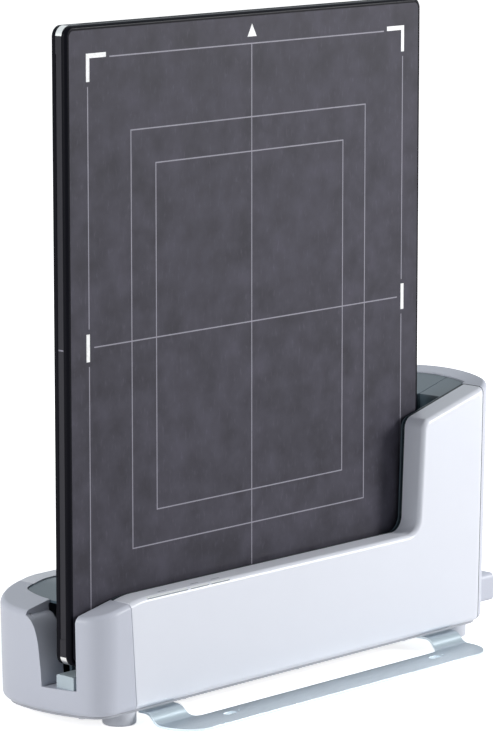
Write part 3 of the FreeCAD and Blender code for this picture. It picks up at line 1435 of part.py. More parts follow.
def make_contacts():
    """Sprung charging pins in their block, and the pads they meet under the detector."""
    bores, pins, pads = [], [], []
    for index in range(CONTACTS):
        x = f"contact_left + {index} * contact_pitch"
        foot = (x, "band_mid_y", "pin_shoulder - 1")
        tip = rod(f"pin_tip_{index}", "z", "pin_radius", foot, "panel_base - fit_gap - pin_shoulder + 1", PIN_SIDES)
        collar_foot = (x, "band_mid_y", "pin_shoulder - collar_length")
        collar_radius = "pin_radius + pin_step"
        collar = rod(f"pin_collar_{index}", "z", collar_radius, collar_foot, "collar_length - fit_gap", PIN_SIDES)
        pins.append(fuse(f"pin_{index}", tip, collar))
        bores.append(rod(f"pin_bore_{index}", "z", "pin_radius + fit_gap", foot, 4, PIN_SIDES))
        barrel_foot = (x, "band_mid_y", "pin_shoulder - collar_length - pin_stroke")
        barrel_length = "collar_length + pin_stroke"
        bores.append(
            rod(f"pin_barrel_{index}", "z", f"{collar_radius} + fit_gap", barrel_foot, barrel_length, PIN_SIDES)
        )
        pads.append(
            block(
                f"contact_pad_{index}",
                (f"{x} - 2", f"{x} + 2"),
                ("band_mid_y - 1.5", "band_mid_y + 1.5"),
                ("panel_base", "panel_base + 1"),
            )
        )
    keep(cut("contact_block_built", contact_space("contact_block_form"), *bores), "contact_block")
    keep(group("contact_pin_set", pins), "contact_pins")
    keep(group("contact_pad_set", pads), "contact_pads")
    carrier = block(
        "contact_carrier_block",
        ("contact_left - 4", "contact_right + 4"),
        ("band_mid_y - 2.4", "band_mid_y + 2.4"),
        ("panel_base", "panel_base + frame_wall"),
    )
    keep(cut("contact_carrier_built", carrier, *pads), "contact_carrier")


def make_cradle_electronics():
    """Main, charging and lamp boards, and the power module on the tray."""
    sheet_z = ("board_rest", "board_rest + board_depth")
    top = sheet_z[1]
    board = block("main_board_sheet", ("board_left", "board_right"), ("board_y", "board_y + board_breadth"), sheet_z)
    parts = [
        board_part("main_chip", 60, 84, 14, 38, 2),
        board_part("main_coil", 20, 38, 18, 36, 12),
        board_part("main_header", 116, 138, 32, 40, 9),
    ]
    for index in range(3):
        foot = (f"board_left + 100 + {index} * 12", "board_y + 16", top)
        parts.append(rod(f"main_capacitor_{index}", "z", 5, foot, 16, FEW_SIDES))
    keep(fuse("main_board_built", board, *parts), "main_board")

    module = new_body("power_module_body")
    sketch = new_sketch(module, "power_module_outline", "XY", "housing_base")
    draw_outline(
        sketch, rectangle("module_right - module_length", "module_right", "board_y", "board_y + module_breadth")
    )
    feature(module, "Pad", "power_module_block", sketch, "module_height")
    soften(module, "Chamfer", "power_module_edges", 2, lambda edge, box: along("Z", box))
    keep(module, "power_module")

    y_span = ("band_mid_y - 7", "band_mid_y + 7")
    charge = block("charge_board_sheet", ("contact_mid - 35", "contact_mid + 35"), y_span, sheet_z)
    driver = block(
        "charge_chip", ("contact_mid + 24", "contact_mid + 32"), ("band_mid_y - 4", "band_mid_y + 4"), (top, f"{top} + 1.4")
    )
    keep(fuse("charge_board_built", charge, driver), "charge_board")

    strip = block(
        "lamp_board_sheet",
        ("lamp_start - 1.5", "lamp_start + 88.5"),
        ("lamp_row - 4", "lamp_row + 7"),
        ("lamp_board_top - board_depth", "lamp_board_top"),
    )
    lamps = [
        block(
            f"lamp_chip_{index}",
            (f"lamp_start + {x} - 1.6", f"lamp_start + {x} + 1.6"),
            ("lamp_row - 4", "lamp_row - 2.4"),
            ("lamp_board_top", "lamp_board_top + 1"),
        )
        for index, x in enumerate(LAMP_CHIPS)
    ]
    keep(fuse("lamp_board_built", strip, *lamps), "lamp_board")


def board_part(name, left, right, front, back, height):
    """A component standing on the main board."""
    top = "board_rest + board_depth"
    return block(
        name,
        (f"board_left + {left}", f"board_left + {right}"),
        (f"board_y + {front}", f"board_y + {back}"),
        (top, f"{top} + {height}"),
    )


def check_and_export():
    """Stop on any failed object, then write one STEP file for each sub-part."""
    doc.recompute()
    failed = [item.Name for item in doc.Objects if {"Invalid", "Error"} & set(item.State)]
    if failed:
        raise RuntimeError(f"failed objects: {failed}")
    os.makedirs("parts", exist_ok=True)
    for item in nodes:
        if item.Shape.isNull() or not item.Shape.isValid() or not item.Shape.Solids:
            raise RuntimeError(f"bad shape: {item.Label}")
        item.Shape.exportStep(f"parts/{item.Label}.step")
        print(item.Label, len(item.Shape.Solids), round(item.Shape.Volume))


fill_sheet()
guards = make_corner_guards()
rear_screws = make_rear_screws()
make_front_rim()
make_side_band(guards, rear_screws)
make_rear_rim(rear_screws)
make_sheets()
make_imaging_stack()
make_detector_electronics()
make_button_and_lamps()
housing_form = make_housing_form()
lens_bars = make_lenses(housing_form)
make_shells(housing_form, make_hollow(), lens_bars)
make_sockets()
make_liner()
tray_holes = make_tray()
make_foot_plate(make_feet(), tray_holes)
make_seat()
make_contacts()
make_cradle_electronics()
check_and_export()
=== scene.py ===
"""Looks of a flat panel X-ray detector that stands in its charging cradle.

Every length is in metres. +X runs along the detector from left to right, +Y away from its front
face, +Z up, and the floor is at zero.
"""

import json
import math

import bmesh
import bpy
from bpy.props import FloatProperty, FloatVectorProperty, IntProperty, PointerProperty
from bpy.types import Operator, Panel, PropertyGroup
from mathutils import Matrix, Vector
from mathutils.bvhtree import BVHTree


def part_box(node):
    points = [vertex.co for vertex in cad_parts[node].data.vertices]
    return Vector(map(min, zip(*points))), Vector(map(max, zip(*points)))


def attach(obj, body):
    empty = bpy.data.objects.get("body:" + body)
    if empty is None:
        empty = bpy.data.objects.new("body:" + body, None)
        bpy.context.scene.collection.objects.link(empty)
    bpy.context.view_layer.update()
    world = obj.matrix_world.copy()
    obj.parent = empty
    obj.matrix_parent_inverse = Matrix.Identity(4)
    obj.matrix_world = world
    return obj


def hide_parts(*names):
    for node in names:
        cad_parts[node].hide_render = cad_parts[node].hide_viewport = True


bl_info = {
    "name": "Flat panel detector and cradle",
    "version": (1, 0, 0),
    "blender": (4, 5, 0),
    "location": "3D Viewport > Sidebar > Detector",
    "description": "Dresses a flat panel X-ray detector and its charging cradle, and sets the studio round them",
    "category": "Object",
}

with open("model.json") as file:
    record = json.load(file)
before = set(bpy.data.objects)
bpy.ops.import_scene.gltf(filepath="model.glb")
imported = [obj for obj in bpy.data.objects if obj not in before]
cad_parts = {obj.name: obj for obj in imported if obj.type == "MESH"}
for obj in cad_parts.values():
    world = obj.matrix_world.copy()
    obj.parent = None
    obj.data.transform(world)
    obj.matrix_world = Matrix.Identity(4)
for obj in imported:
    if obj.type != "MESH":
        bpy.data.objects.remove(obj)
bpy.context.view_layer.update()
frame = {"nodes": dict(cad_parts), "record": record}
MM = 0.001


# Settings


def length(name, description, default):
    return FloatProperty(name=name, description=description, default=default, min=0, unit="LENGTH", precision=5)


def colour(name, description, default):
    return FloatVectorProperty(
        name=name, description=description, default=default, size=3, min=0, max=1, subtype="COLOR"
    )


def share(name, description, default):
    return FloatProperty(name=name, description=description, default=default, min=0, max=1, subtype="FACTOR")


class MarkSettings(PropertyGroup):
    """Printed marks on the detector's front and the cradle's rim."""

    line_width: length("Line width", "Width of the thin field lines", 0.9 * MM)
    bar_width: length("Bar width", "Width of the bold corner and side marks", 3.4 * MM)
    corner_leg: length("Corner leg", "Length of each leg of a corner mark", 20 * MM)
    side_bar: length("Side bar", "Length of the two bold side marks", 20 * MM)
    line_gap: length("Line gap", "Gap between a bold mark and the thin line that goes on from it", 3.5 * MM)
    ink_depth: length("Ink depth", "Thickness of the print", 0.05 * MM)
    line_colour: colour("Line colour", "Colour of the thin field lines", (0.25, 0.24, 0.29))
    bold_colour: colour("Bold colour", "Colour of the bold marks", (0.98, 0.98, 0.98))


class FinishSettings(PropertyGroup):
    """Colours of the surfaces that show."""

    sheet: colour("Front sheet", "Fibre sheet over the detector's front", (0.05, 0.047, 0.062))
    rim: colour("Rims", "Front and rear rims of the detector", (0.003, 0.003, 0.006))
    band: colour("Side band", "Painted frame round the detector", (0.016, 0.015, 0.021))
    guard: colour("Corner guards", "Bright guards in the detector's corners", (0.74, 0.73, 0.71))
    cover: colour("Covers", "White front and rear covers", (0.78, 0.8, 0.87))
    cap: colour("End caps", "Light grey ends of the cradle", (0.57, 0.59, 0.67))
    liner: colour("Liner", "Slate insert round the slot", (0.066, 0.1, 0.126))
    rail: colour("Seat rail", "Rail along the slot's floor", (0.5, 0.58, 0.63))
    plate: colour("Foot plate", "Satin metal foot plate", (0.42, 0.475, 0.51))
    foot: colour("Feet", "Rubber feet", (0.64, 0.66, 0.72))


class RoundingSettings(PropertyGroup):
    """Small roundings that finish the pieces' edges."""

    shell_edge: length("Shell edge", "Rounding along the housing's seams and openings", 0.35 * MM)
    metal_edge: length("Metal edge", "Rounding along the foot plate's edges", 0.25 * MM)
    frame_edge: length("Frame edge", "Rounding along the detector's frame", 0.15 * MM)
    foot_edge: length("Foot edge", "Rounding under the rubber feet", 1.5 * MM)
    segments: IntProperty(name="Segments", description="Steps in each small rounding", default=2, min=1, max=6)


class StudioSettings(PropertyGroup):
    """Camera, lamps, floor and world."""

    lens: FloatProperty(name="Lens", description="Focal length of the camera, in millimetres", default=191.16)
    distance: length("Distance", "Camera to the middle of the detector's front", 2.9104)
    yaw: FloatProperty(
        name="Yaw", description="Turn of the view from straight ahead", default=math.radians(47.247), subtype="ANGLE"
    )
    pitch: FloatProperty(name="Pitch", description="Dip of the view", default=math.radians(9.565), subtype="ANGLE")
    slide_right: FloatProperty(name="Slide right", description="Camera moved across the view", default=-0.0013)
    slide_up: FloatProperty(name="Slide up", description="Camera moved up the view", default=-0.0355)
    front_lamp: FloatProperty(name="Front lamp", description="Power of the large lamp at the front right, in watts", default=75)
    side_lamp: FloatProperty(name="Side lamp", description="Power of the lamp at the rear left, in watts", default=38)
    top_lamp: FloatProperty(name="Top lamp", description="Power of the lamp overhead, in watts", default=8)
    sky: share("Sky", "Strength of the plain pale light from all round", 0.17)
    floor_lift: share("Floor lift", "Light added to the floor near the object, as the camera sees it", 0.76)


def settings(name):
    return getattr(bpy.context.scene, name)


# Finishes


def new_material(name):
    material = bpy.data.materials.new(name)
    material.use_nodes = True
    nodes = material.node_tree.nodes
    return material, nodes, material.node_tree.links, nodes["Principled BSDF"]


def noise(nodes, links, scale, detail=3, stretch=(1, 1, 1)):
    """Noise in the object's own metres, drawn out along an axis by a stretch below one."""
    place = nodes.new("ShaderNodeTexCoord")
    mapping = nodes.new("ShaderNodeMapping")
    mapping.inputs["Scale"].default_value = stretch
    texture = nodes.new("ShaderNodeTexNoise")
    texture.inputs["Scale"].default_value = scale
    texture.inputs["Detail"].default_value = detail
    links.new(place.outputs["Object"], mapping.inputs["Vector"])
    links.new(mapping.outputs["Vector"], texture.inputs["Vector"])
    return texture.outputs["Fac"]


def ramp(nodes, links, value, low, high, dark, light):
    """Two colours across a span of a value."""
    item = nodes.new("ShaderNodeValToRGB")
    item.color_ramp.elements[0].position = low
    item.color_ramp.elements[1].position = high
    item.color_ramp.elements[0].color = (*dark, 1)
    item.color_ramp.elements[1].color = (*light, 1)
    links.new(value, item.inputs["Fac"])
    return item.outputs["Color"]


def spread(nodes, links, value, low, high):
    item = nodes.new("ShaderNodeMapRange")
    item.inputs["From Min"].default_value = 0.3
    item.inputs["From Max"].default_value = 0.7
    item.inputs["To Min"].default_value = low
    item.inputs["To Max"].default_value = high
    links.new(value, item.inputs["Value"])
    return item.outputs["Result"]


def relief(nodes, links, value, depth, strength=1.0, under=None):
    item = nodes.new("ShaderNodeBump")
    item.inputs["Distance"].default_value = depth
    item.inputs["Strength"].default_value = strength
    links.new(value, item.inputs["Height"])
    if under:
        links.new(under, item.inputs["Normal"])
    return item.outputs["Normal"]


def shade(tint, factor):
    return tuple(min(1, channel * factor) for channel in tint)


def moulded(name, tint, roughness=0.4, grain=1500, depth=0.03 * MM, coat=0.0, mottle=0.03, gloss=0.5):
    """Moulded plastic: fine grain, slow change of tone and slight change of gloss."""
    material, nodes, links, shader = new_material(name)
    slow = noise(nodes, links, 9)
    links.new(ramp(nodes, links, slow, 0.3, 0.7, shade(tint, 1 - mottle), shade(tint, 1 + mottle)), shader.inputs["Base Color"])
    fine = noise(nodes, links, grain, 2)
    links.new(spread(nodes, links, fine, roughness - 0.04, roughness + 0.04), shader.inputs["Roughness"])
    links.new(relief(nodes, links, fine, depth), shader.inputs["Normal"])
    shader.inputs["Specular IOR Level"].default_value = gloss
    shader.inputs["Coat Weight"].default_value = coat
    shader.inputs["Coat Roughness"].default_value = 0.25
    return material


def brushed(name, tint, roughness=0.32, stretch=(0.04, 1, 1), scale=2600, depth=0.012 * MM, metallic=1.0):
    """Metal with fine brush lines along one axis."""
    material, nodes, links, shader = new_material(name)
    lines = noise(nodes, links, scale, 4, stretch)
    slow = noise(nodes, links, 14, 2)
    links.new(ramp(nodes, links, slow, 0.3, 0.7, shade(tint, 0.95), shade(tint, 1.05)), shader.inputs["Base Color"])
    links.new(spread(nodes, links, lines, roughness - 0.06, roughness + 0.08), shader.inputs["Roughness"])
    links.new(relief(nodes, links, lines, depth), shader.inputs["Normal"])
    shader.inputs["Metallic"].default_value = metallic
    return material


def rubber(name, tint, roughness=0.62):
    """Soft rubber: matt, with a fine pitted skin and a little sheen."""
    material, nodes, links, shader = new_material(name)
    pits = noise(nodes, links, 2200, 4)
    slow = noise(nodes, links, 40, 2)
    links.new(ramp(nodes, links, slow, 0.3, 0.7, shade(tint, 0.94), shade(tint, 1.05)), shader.inputs["Base Color"])
    links.new(spread(nodes, links, pits, roughness - 0.06, roughness + 0.08), shader.inputs["Roughness"])
    links.new(relief(nodes, links, pits, 0.05 * MM), shader.inputs["Normal"])
    shader.inputs["Sheen Weight"].default_value = 0.12
    return material


def fibre_sheet(name, tint):
    """Pressed fibre sheet: cloudy mottling with short upright specks in it."""
    material, nodes, links, shader = new_material(name)
    cloud = noise(nodes, links, 48, 9)
    base = ramp(nodes, links, cloud, 0.3, 0.72, shade(tint, 0.7), shade(tint, 1.34))
    specks = noise(nodes, links, 420, 3, (1, 1, 0.3))
    speck_tone = ramp(nodes, links, specks, 0.58, 0.8, (0, 0, 0), shade(tint, 0.5))
    blend = nodes.new("ShaderNodeMix")
    blend.data_type = "RGBA"
    blend.blend_type = "ADD"
    blend.inputs["Factor"].default_value = 1
    links.new(base, blend.inputs["A"])
    links.new(speck_tone, blend.inputs["B"])
    links.new(blend.outputs["Result"], shader.inputs["Base Color"])
    links.new(spread(nodes, links, cloud, 0.4, 0.52), shader.inputs["Roughness"])
    links.new(relief(nodes, links, specks, 0.02 * MM), shader.inputs["Normal"])
    shader.inputs["Specular IOR Level"].default_value = 0.12
    return material


def ink(name, tint, metallic=0.0):
    """Printed ink, slightly worn."""
    material, nodes, links, shader = new_material(name)
    worn = noise(nodes, links, 420, 4)
    links.new(ramp(nodes, links, worn, 0.28, 0.5, shade(tint, 0.82), tint), shader.inputs["Base Color"])
    links.new(spread(nodes, links, worn, 0.45, 0.6), shader.inputs["Roughness"])
    shader.inputs["Metallic"].default_value = metallic
    return material


def clear_plastic(name, tint, roughness=0.18, clearness=0.1):
    """Frosted lamp pipe."""
    material, nodes, links, shader = new_material(name)
    frost = noise(nodes, links, 900, 3)
    links.new(ramp(nodes, links, frost, 0.3, 0.7, shade(tint, 0.93), shade(tint, 1.05)), shader.inputs["Base Color"])
    links.new(spread(nodes, links, frost, roughness - 0.04, roughness + 0.06), shader.inputs["Roughness"])
    shader.inputs["Transmission Weight"].default_value = clearness
    shader.inputs["IOR"].default_value = 1.49
    return material


def circuit_board(name, tint):
    """Solder mask with faint copper tracks under it."""
    material, nodes, links, shader = new_material(name)
    place = nodes.new("ShaderNodeTexCoord")
    tracks = nodes.new("ShaderNodeTexBrick")
    tracks.inputs["Scale"].default_value = 120
    tracks.inputs["Mortar Size"].default_value = 0.03
    tracks.inputs["Color1"].default_value = (*shade(tint, 0.9), 1)
    tracks.inputs["Color2"].default_value = (*tint, 1)
    tracks.inputs["Mortar"].default_value = (*shade(tint, 1.8), 1)
    links.new(place.outputs["Object"], tracks.inputs["Vector"])
    links.new(tracks.outputs["Color"], shader.inputs["Base Color"])
    fine = noise(nodes, links, 1200, 2)
    links.new(spread(nodes, links, fine, 0.3, 0.42), shader.inputs["Roughness"])
    return material


def build_materials():
    """One material for each of the record's slots, and the inks."""
    tints = settings("finish_settings")
    marks = settings("mark_settings")
    return {
        "rim_black": moulded("rim_black", tuple(tints.rim), 0.3, 1800, 0.01 * MM, gloss=0.05),
        "band_dark": moulded("band_dark", tuple(tints.band), 0.42, 2400, 0.03 * MM, gloss=0.22),
        "guard_bright": brushed("guard_bright", tuple(tints.guard), 0.3, (1, 0.05, 1)),
        "sheet_carbon": fibre_sheet("sheet_carbon", tuple(tints.sheet)),
        "sheet_rear": moulded("sheet_rear", (0.026, 0.026, 0.03), 0.5, 1100, 0.03 * MM, mottle=0.08),
        "screw_steel": brushed("screw_steel", (0.42, 0.42, 0.44), 0.34, (1, 1, 0.2)),
        "phosphor": moulded("phosphor", (0.85, 0.85, 0.8), 0.7),
        "sensor_glass": clear_plastic("sensor_glass", (0.55, 0.6, 0.62), 0.1, 0.35),
        "support_metal": brushed("support_metal", (0.6, 0.61, 0.62), 0.35, (1, 1, 0.05)),
        "circuit_green": circuit_board("circuit_green", (0.03, 0.2, 0.09)),
        "cell_grey": brushed("cell_grey", (0.3, 0.31, 0.33), 0.45, (1, 1, 0.2), 900, 0.04 * MM, 0.6),
        "ribbon_amber": moulded("ribbon_amber", (0.5, 0.22, 0.05), 0.3),
        "antenna_copper": brushed("antenna_copper", (0.75, 0.45, 0.2), 0.3),
        "button_grey": moulded("button_grey", (0.11, 0.11, 0.12), 0.38),
        "lamp_clear": clear_plastic("lamp_clear", (0.9, 0.92, 0.93), 0.3),
        "contact_gold": brushed("contact_gold", (0.85, 0.63, 0.27), 0.22, (1, 1, 0.3)),
        "block_black": moulded("block_black", (0.012, 0.012, 0.013), 0.45),
        "cover_white": moulded("cover_white", tuple(tints.cover), 0.36, 1300, 0.012 * MM, 0.15, 0.012),
        "cap_grey": moulded("cap_grey", tuple(tints.cap), 0.42, 1300, 0.015 * MM, 0.08, 0.015),
        "liner_slate": moulded("liner_slate", tuple(tints.liner), 0.34, 1500, 0.02 * MM, 0.1, 0.05),
        "rail_grey": moulded("rail_grey", tuple(tints.rail), 0.42, 1300, 0.02 * MM),
        "pad_rubber": rubber("pad_rubber", (0.045, 0.045, 0.05)),
        "foot_rubber": rubber("foot_rubber", tuple(tints.foot), 0.55),
        "tray_grey": moulded("tray_grey", (0.43, 0.44, 0.48), 0.5, 900, 0.05 * MM),
        "plate_metal": brushed("plate_metal", tuple(tints.plate), 0.36),
        "module_black": moulded("module_black", (0.035, 0.035, 0.04), 0.5),
        # Near-black painted shade for the seam walls and the front cover's lip.
        "seam_and_lip_painted_shade": moulded("seam_and_lip_painted_shade", (0.012, 0.02, 0.026), 0.5, gloss=0.2),
        # A brighter copy of the plate's metal: a painted highlight on the plate's upright edges.
        "plate_edge_painted_highlight": brushed("plate_edge_painted_highlight", shade(tuple(tints.plate), 1.5), 0.3, (1, 1, 0.1)),
        "line_ink": ink("line_ink", tuple(marks.line_colour)),
        "bold_ink": ink("bold_ink", tuple(marks.bold_colour)),
        # Grey for the rim ticks, and for the painted shadow lines under the lamp lenses.
        "tick_ink_and_painted_lens_shadow": ink("tick_ink_and_painted_lens_shadow", (0.3, 0.33, 0.37)),
    }


MATERIALS = {}


def finish(slot):
    if not MATERIALS:
        MATERIALS.update(build_materials())
    return MATERIALS[slot]


SLOT_OF_NODE = {item["node"]: item["material_slot"] for item in frame["record"]["subparts"]}
BODY_OF_NODE = {
    node: body for body, members in frame["record"]["behaviour"]["bodies"].items() for node in members
}


# Building pieces


def box_of(node):
    low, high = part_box(node)
    return Vector(low), Vector(high)


def add_piece(name, mesh, slot, body, replaced=(), material=None):
    """Put a finished mesh into the scene, on the body that carries it."""
    piece = bpy.data.objects.new(name, mesh)
    bpy.context.collection.objects.link(piece)
    mesh.materials.clear()
    mesh.materials.append(material or finish(slot))
    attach(piece, body)
    if replaced:
        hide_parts(*replaced)
    return piece


def mesh_from(name, builder):
    """A new mesh, filled by a function that works on a bmesh."""
    mesh = bpy.data.meshes.new(name)
    shape = bmesh.new()
    builder(shape)
    bmesh.ops.recalc_face_normals(shape, faces=shape.faces)
    shape.to_mesh(mesh)
    shape.free()
    return mesh


def smooth(mesh, degrees):
    mesh.shade_smooth()
    mesh.set_sharp_from_angle(angle=math.radians(degrees))


def cleaned(node):
    """A node's own surface as a closed bmesh, its facets joined into whole flat faces."""
    source = frame["nodes"][node].data
    shape = bmesh.new()
    corners = [shape.verts.new(vertex.co) for vertex in source.vertices]
    for polygon in source.polygons:
        try:
            shape.faces.new([corners[index] for index in polygon.vertices])
        except ValueError:
            continue
    bmesh.ops.remove_doubles(shape, verts=shape.verts, dist=0.002 * MM)
    bmesh.ops.dissolve_degenerate(shape, dist=0.001 * MM, edges=shape.edges)
    return shape


def refine(name, node, edge_size, degrees=31):
    """A smooth copy of a node, its sharp edges slightly rounded, that stands for the node."""
    shape = cleaned(node)
    bmesh.ops.dissolve_limit(shape, angle_limit=math.radians(0.4), verts=shape.verts, edges=shape.edges)
    mesh = bpy.data.meshes.new(name)
    shape.to_mesh(mesh)
    shape.free()
    smooth(mesh, degrees)
    piece = add_piece(name, mesh, SLOT_OF_NODE[node], BODY_OF_NODE[node], (node,))
    if edge_size:
        rounding = piece.modifiers.new("small_rounding", "BEVEL")
        rounding.width = edge_size
        rounding.segments = settings("rounding_settings").segments
        rounding.limit_method = "ANGLE"
        rounding.angle_limit = math.radians(degrees)
    evening = piece.modifiers.new("even_shading", "WEIGHTED_NORMAL")
    evening.weight = 100
    evening.keep_sharp = True
    return piece


def islands(node):
    """Lowest and highest corners of each loose solid in a node."""
    shape = cleaned(node)
    left = set(shape.verts)
    found = []
    while left:
        group = set()
        edge_of = [left.pop()]
        while edge_of:
            vertex = edge_of.pop()
            group.add(vertex)
            for edge in vertex.link_edges:
                other = edge.other_vert(vertex)
                if other in left:
                    left.remove(other)
                    edge_of.append(other)
        places = [vertex.co.copy() for vertex in group]
        low = Vector([min(place[axis] for place in places) for axis in range(3)])
        high = Vector([max(place[axis] for place in places) for axis in range(3)])
        found.append((low, high))
    shape.free()
    return sorted(found, key=lambda span: tuple(round(value, 5) for value in span[0]))


def add_block(shape, low, high):
    """A box between two corners."""
    corners = [
        shape.verts.new((x, y, z)) for x in (low[0], high[0]) for y in (low[1], high[1]) for z in (low[2], high[2])
    ]
    for a, b, c, d in ((0, 1, 3, 2), (4, 6, 7, 5), (0, 4, 5, 1), (2, 3, 7, 6), (0, 2, 6, 4), (1, 5, 7, 3)):
        shape.faces.new((corners[a], corners[b], corners[c], corners[d]))


def add_turned(shape, profile, place, steps=40):
    """Turn a profile of (radius, height) points about an axis; the matrix puts it in place."""
    rings = []
    for radius, height in profile:
        if radius < 1e-7:
            rings.append([shape.verts.new(place @ Vector((0, 0, height)))])
            continue
        rings.append(
            [
                shape.verts.new(
                    place
                    @ Vector(
                        (radius * math.cos(2 * math.pi * i / steps), radius * math.sin(2 * math.pi * i / steps), height)
                    )
                )
                for i in range(steps)
            ]
        )
    for lower, upper in zip(rings, rings[1:]):
        for i in range(steps):
            j = (i + 1) % steps
            ring = [lower[i % len(lower)], lower[j % len(lower)], upper[j % len(upper)], upper[i % len(upper)]]
            corners = list(dict.fromkeys(ring))
            if len(corners) > 2:
                shape.faces.new(corners)


def rounded_profile(radius, low, high, rounding, steps=6):
    """A rod's profile with its lower rim rounded."""
    points = [(0, low)]
    for step in range(steps + 1):
        turn = math.pi / 2 * step / steps
        points.append((radius - rounding + rounding * math.sin(turn), low + rounding * (1 - math.cos(turn))))
    return points + [(radius, high), (0, high)]


def add_socket_screw(shape, place, head_radius, head_depth, shank_radius, shank_length, socket_radius):
    """A screw with a domed head and a six-sided socket in it; the head lies below the matrix's origin."""
    steps = 36
    socket_depth = 0.55 * head_depth
    profile = [
        (0, shank_length),
        (shank_radius * 0.8, shank_length),
        (shank_radius, shank_length - 0.2 * shank_radius),
        (shank_radius, 0),
        (head_radius, 0),
        (head_radius, -0.6 * head_depth),
        (0.9 * head_radius, -0.9 * head_depth),
        (0.72 * head_radius, -head_depth),
    ]
    add_turned(shape, profile, place, steps)
    shape.verts.ensure_lookup_table()
    outer = [shape.verts[index] for index in range(len(shape.verts) - steps, len(shape.verts))]
    mouth = []
    for i in range(steps):
        turn = 2 * math.pi * i / steps
        corner = math.cos(math.pi / 6) / math.cos((turn % (math.pi / 3)) - math.pi / 6)
        mouth.append((socket_radius * corner * math.cos(turn), socket_radius * corner * math.sin(turn)))
    rim = [shape.verts.new(place @ Vector((x, y, -head_depth))) for x, y in mouth]
    floor = [shape.verts.new(place @ Vector((x, y, socket_depth - head_depth))) for x, y in mouth]
    for i in range(steps):
        j = (i + 1) % steps
        shape.faces.new((outer[i], outer[j], rim[j], rim[i]))
        shape.faces.new((rim[i], rim[j], floor[j], floor[i]))
    shape.faces.new(floor)


# The detector's print

INCH = 25.4 * MM
FIELD_HALVES = ((5 * INCH, 6 * INCH), (4 * INCH, 5 * INCH))
OUTER_HALF = (170.3 * MM, 206.4 * MM)
BOLD_REACH = (171.8 * MM, 209.7 * MM)


def sheet_plane():
    """Middle of the front sheet, and the level of its face."""
    low, high = box_of("front_sheet")
    return (low.x + high.x) / 2, (low.z + high.z) / 2, low.y


def printed(name, strips, slot, depth):
    """Thin strips of ink on the front sheet, given by x and z spans from its middle."""
    middle_x, middle_z, face = sheet_plane()

    def build(shape):
        for x_low, x_high, z_low, z_high in strips:
            low = (middle_x + x_low, face - depth, middle_z + z_low)
            add_block(shape, low, (middle_x + x_high, face + depth, middle_z + z_high))

    return add_piece(name, mesh_from(name, build), "sheet_carbon", "detector", material=finish(slot))


def frame_strips(half_x, half_z, width):
    """Four strips that meet at the corners without overlapping."""
    half = width / 2
    return [
        (-half_x - half, half_x + half, z - half, z + half) for z in (-half_z, half_z)
    ] + [(x - half, x + half, -half_z + half, half_z - half) for x in (-half_x, half_x)]


class DETECTOR_OT_field_lines(Operator):
    """Print the thin field outlines and the two centre lines on the front sheet"""

    bl_idname = "detector.field_lines"
    bl_label = "Field lines"

    def execute(self, context):
        marks = settings("mark_settings")
        half = marks.line_width / 2
        strips = []
        for half_x, half_z in FIELD_HALVES:
            strips += frame_strips(half_x, half_z, marks.line_width)
        half_x, half_z = OUTER_HALF
        level_end = BOLD_REACH[0] - marks.corner_leg - marks.line_gap
        upright_end = BOLD_REACH[1] - marks.corner_leg - marks.line_gap
        bar = marks.side_bar / 2 + marks.line_gap
        strips.append((-level_end, level_end, half_z - half, half_z + half))
        strips.append((-half_x - half, half_x + half, -half_z - half, -half_z + half))
        for x in (-half_x, half_x):
            strips.append((x - half, x + half, bar, upright_end))
            strips.append((x - half, x + half, -half_z + half, -bar))
        printed("field_outlines", strips, "line_ink", marks.ink_depth)
        centre = [
            (-half, half, -half_z + half, half_z - half),
            (-half_x + 5 * MM, half_x - 5 * MM, -half, half),
        ]
        printed("centre_line_upright", centre[:1], "line_ink", marks.ink_depth * 0.8)
        printed("centre_line_level", centre[1:], "line_ink", marks.ink_depth * 0.6)
        return {"FINISHED"}


class DETECTOR_OT_bold_marks(Operator):
    """Print the bold corner marks, side bars and top arrow"""

    bl_idname = "detector.bold_marks"
    bl_label = "Bold marks"

    def execute(self, context):
        marks = settings("mark_settings")
        reach_x, reach_z = BOLD_REACH
        strips = []
        for side in (-1, 1):
            x_out, x_in = side * reach_x, side * (reach_x - marks.corner_leg)
            upright_in = side * (reach_x - marks.bar_width)
            strips.append((min(x_out, x_in), max(x_out, x_in), reach_z - marks.bar_width, reach_z))
            strips.append(
                (min(x_out, upright_in), max(x_out, upright_in), reach_z - marks.corner_leg, reach_z - marks.bar_width)
            )
            x_bar = side * 171.4 * MM
            half_bar = marks.bar_width / 2
            strips.append((x_bar - half_bar, x_bar + half_bar, -marks.side_bar / 2, marks.side_bar / 2))
        printed("bold_marks", strips, "bold_ink", marks.ink_depth * 1.4)
        middle_x, middle_z, face = sheet_plane()

        def arrow(shape):
            points = ((-4.6 * MM, 211.5 * MM), (5.2 * MM, 211.5 * MM), (0.3 * MM, 221 * MM))
            rings = []
            for y in (face - marks.ink_depth * 1.4, face + marks.ink_depth):
                rings.append([shape.verts.new((middle_x + x, y, middle_z + z)) for x, z in points])
            shape.faces.new(rings[0])
            shape.faces.new(rings[1])
            for i in range(3):
                j = (i + 1) % 3
                shape.faces.new((rings[0][i], rings[0][j], rings[1][j], rings[1][i]))

        add_piece(
            "top_arrow", mesh_from("top_arrow", arrow), "sheet_carbon", "detector", material=finish("bold_ink")
        )
        return {"FINISHED"}


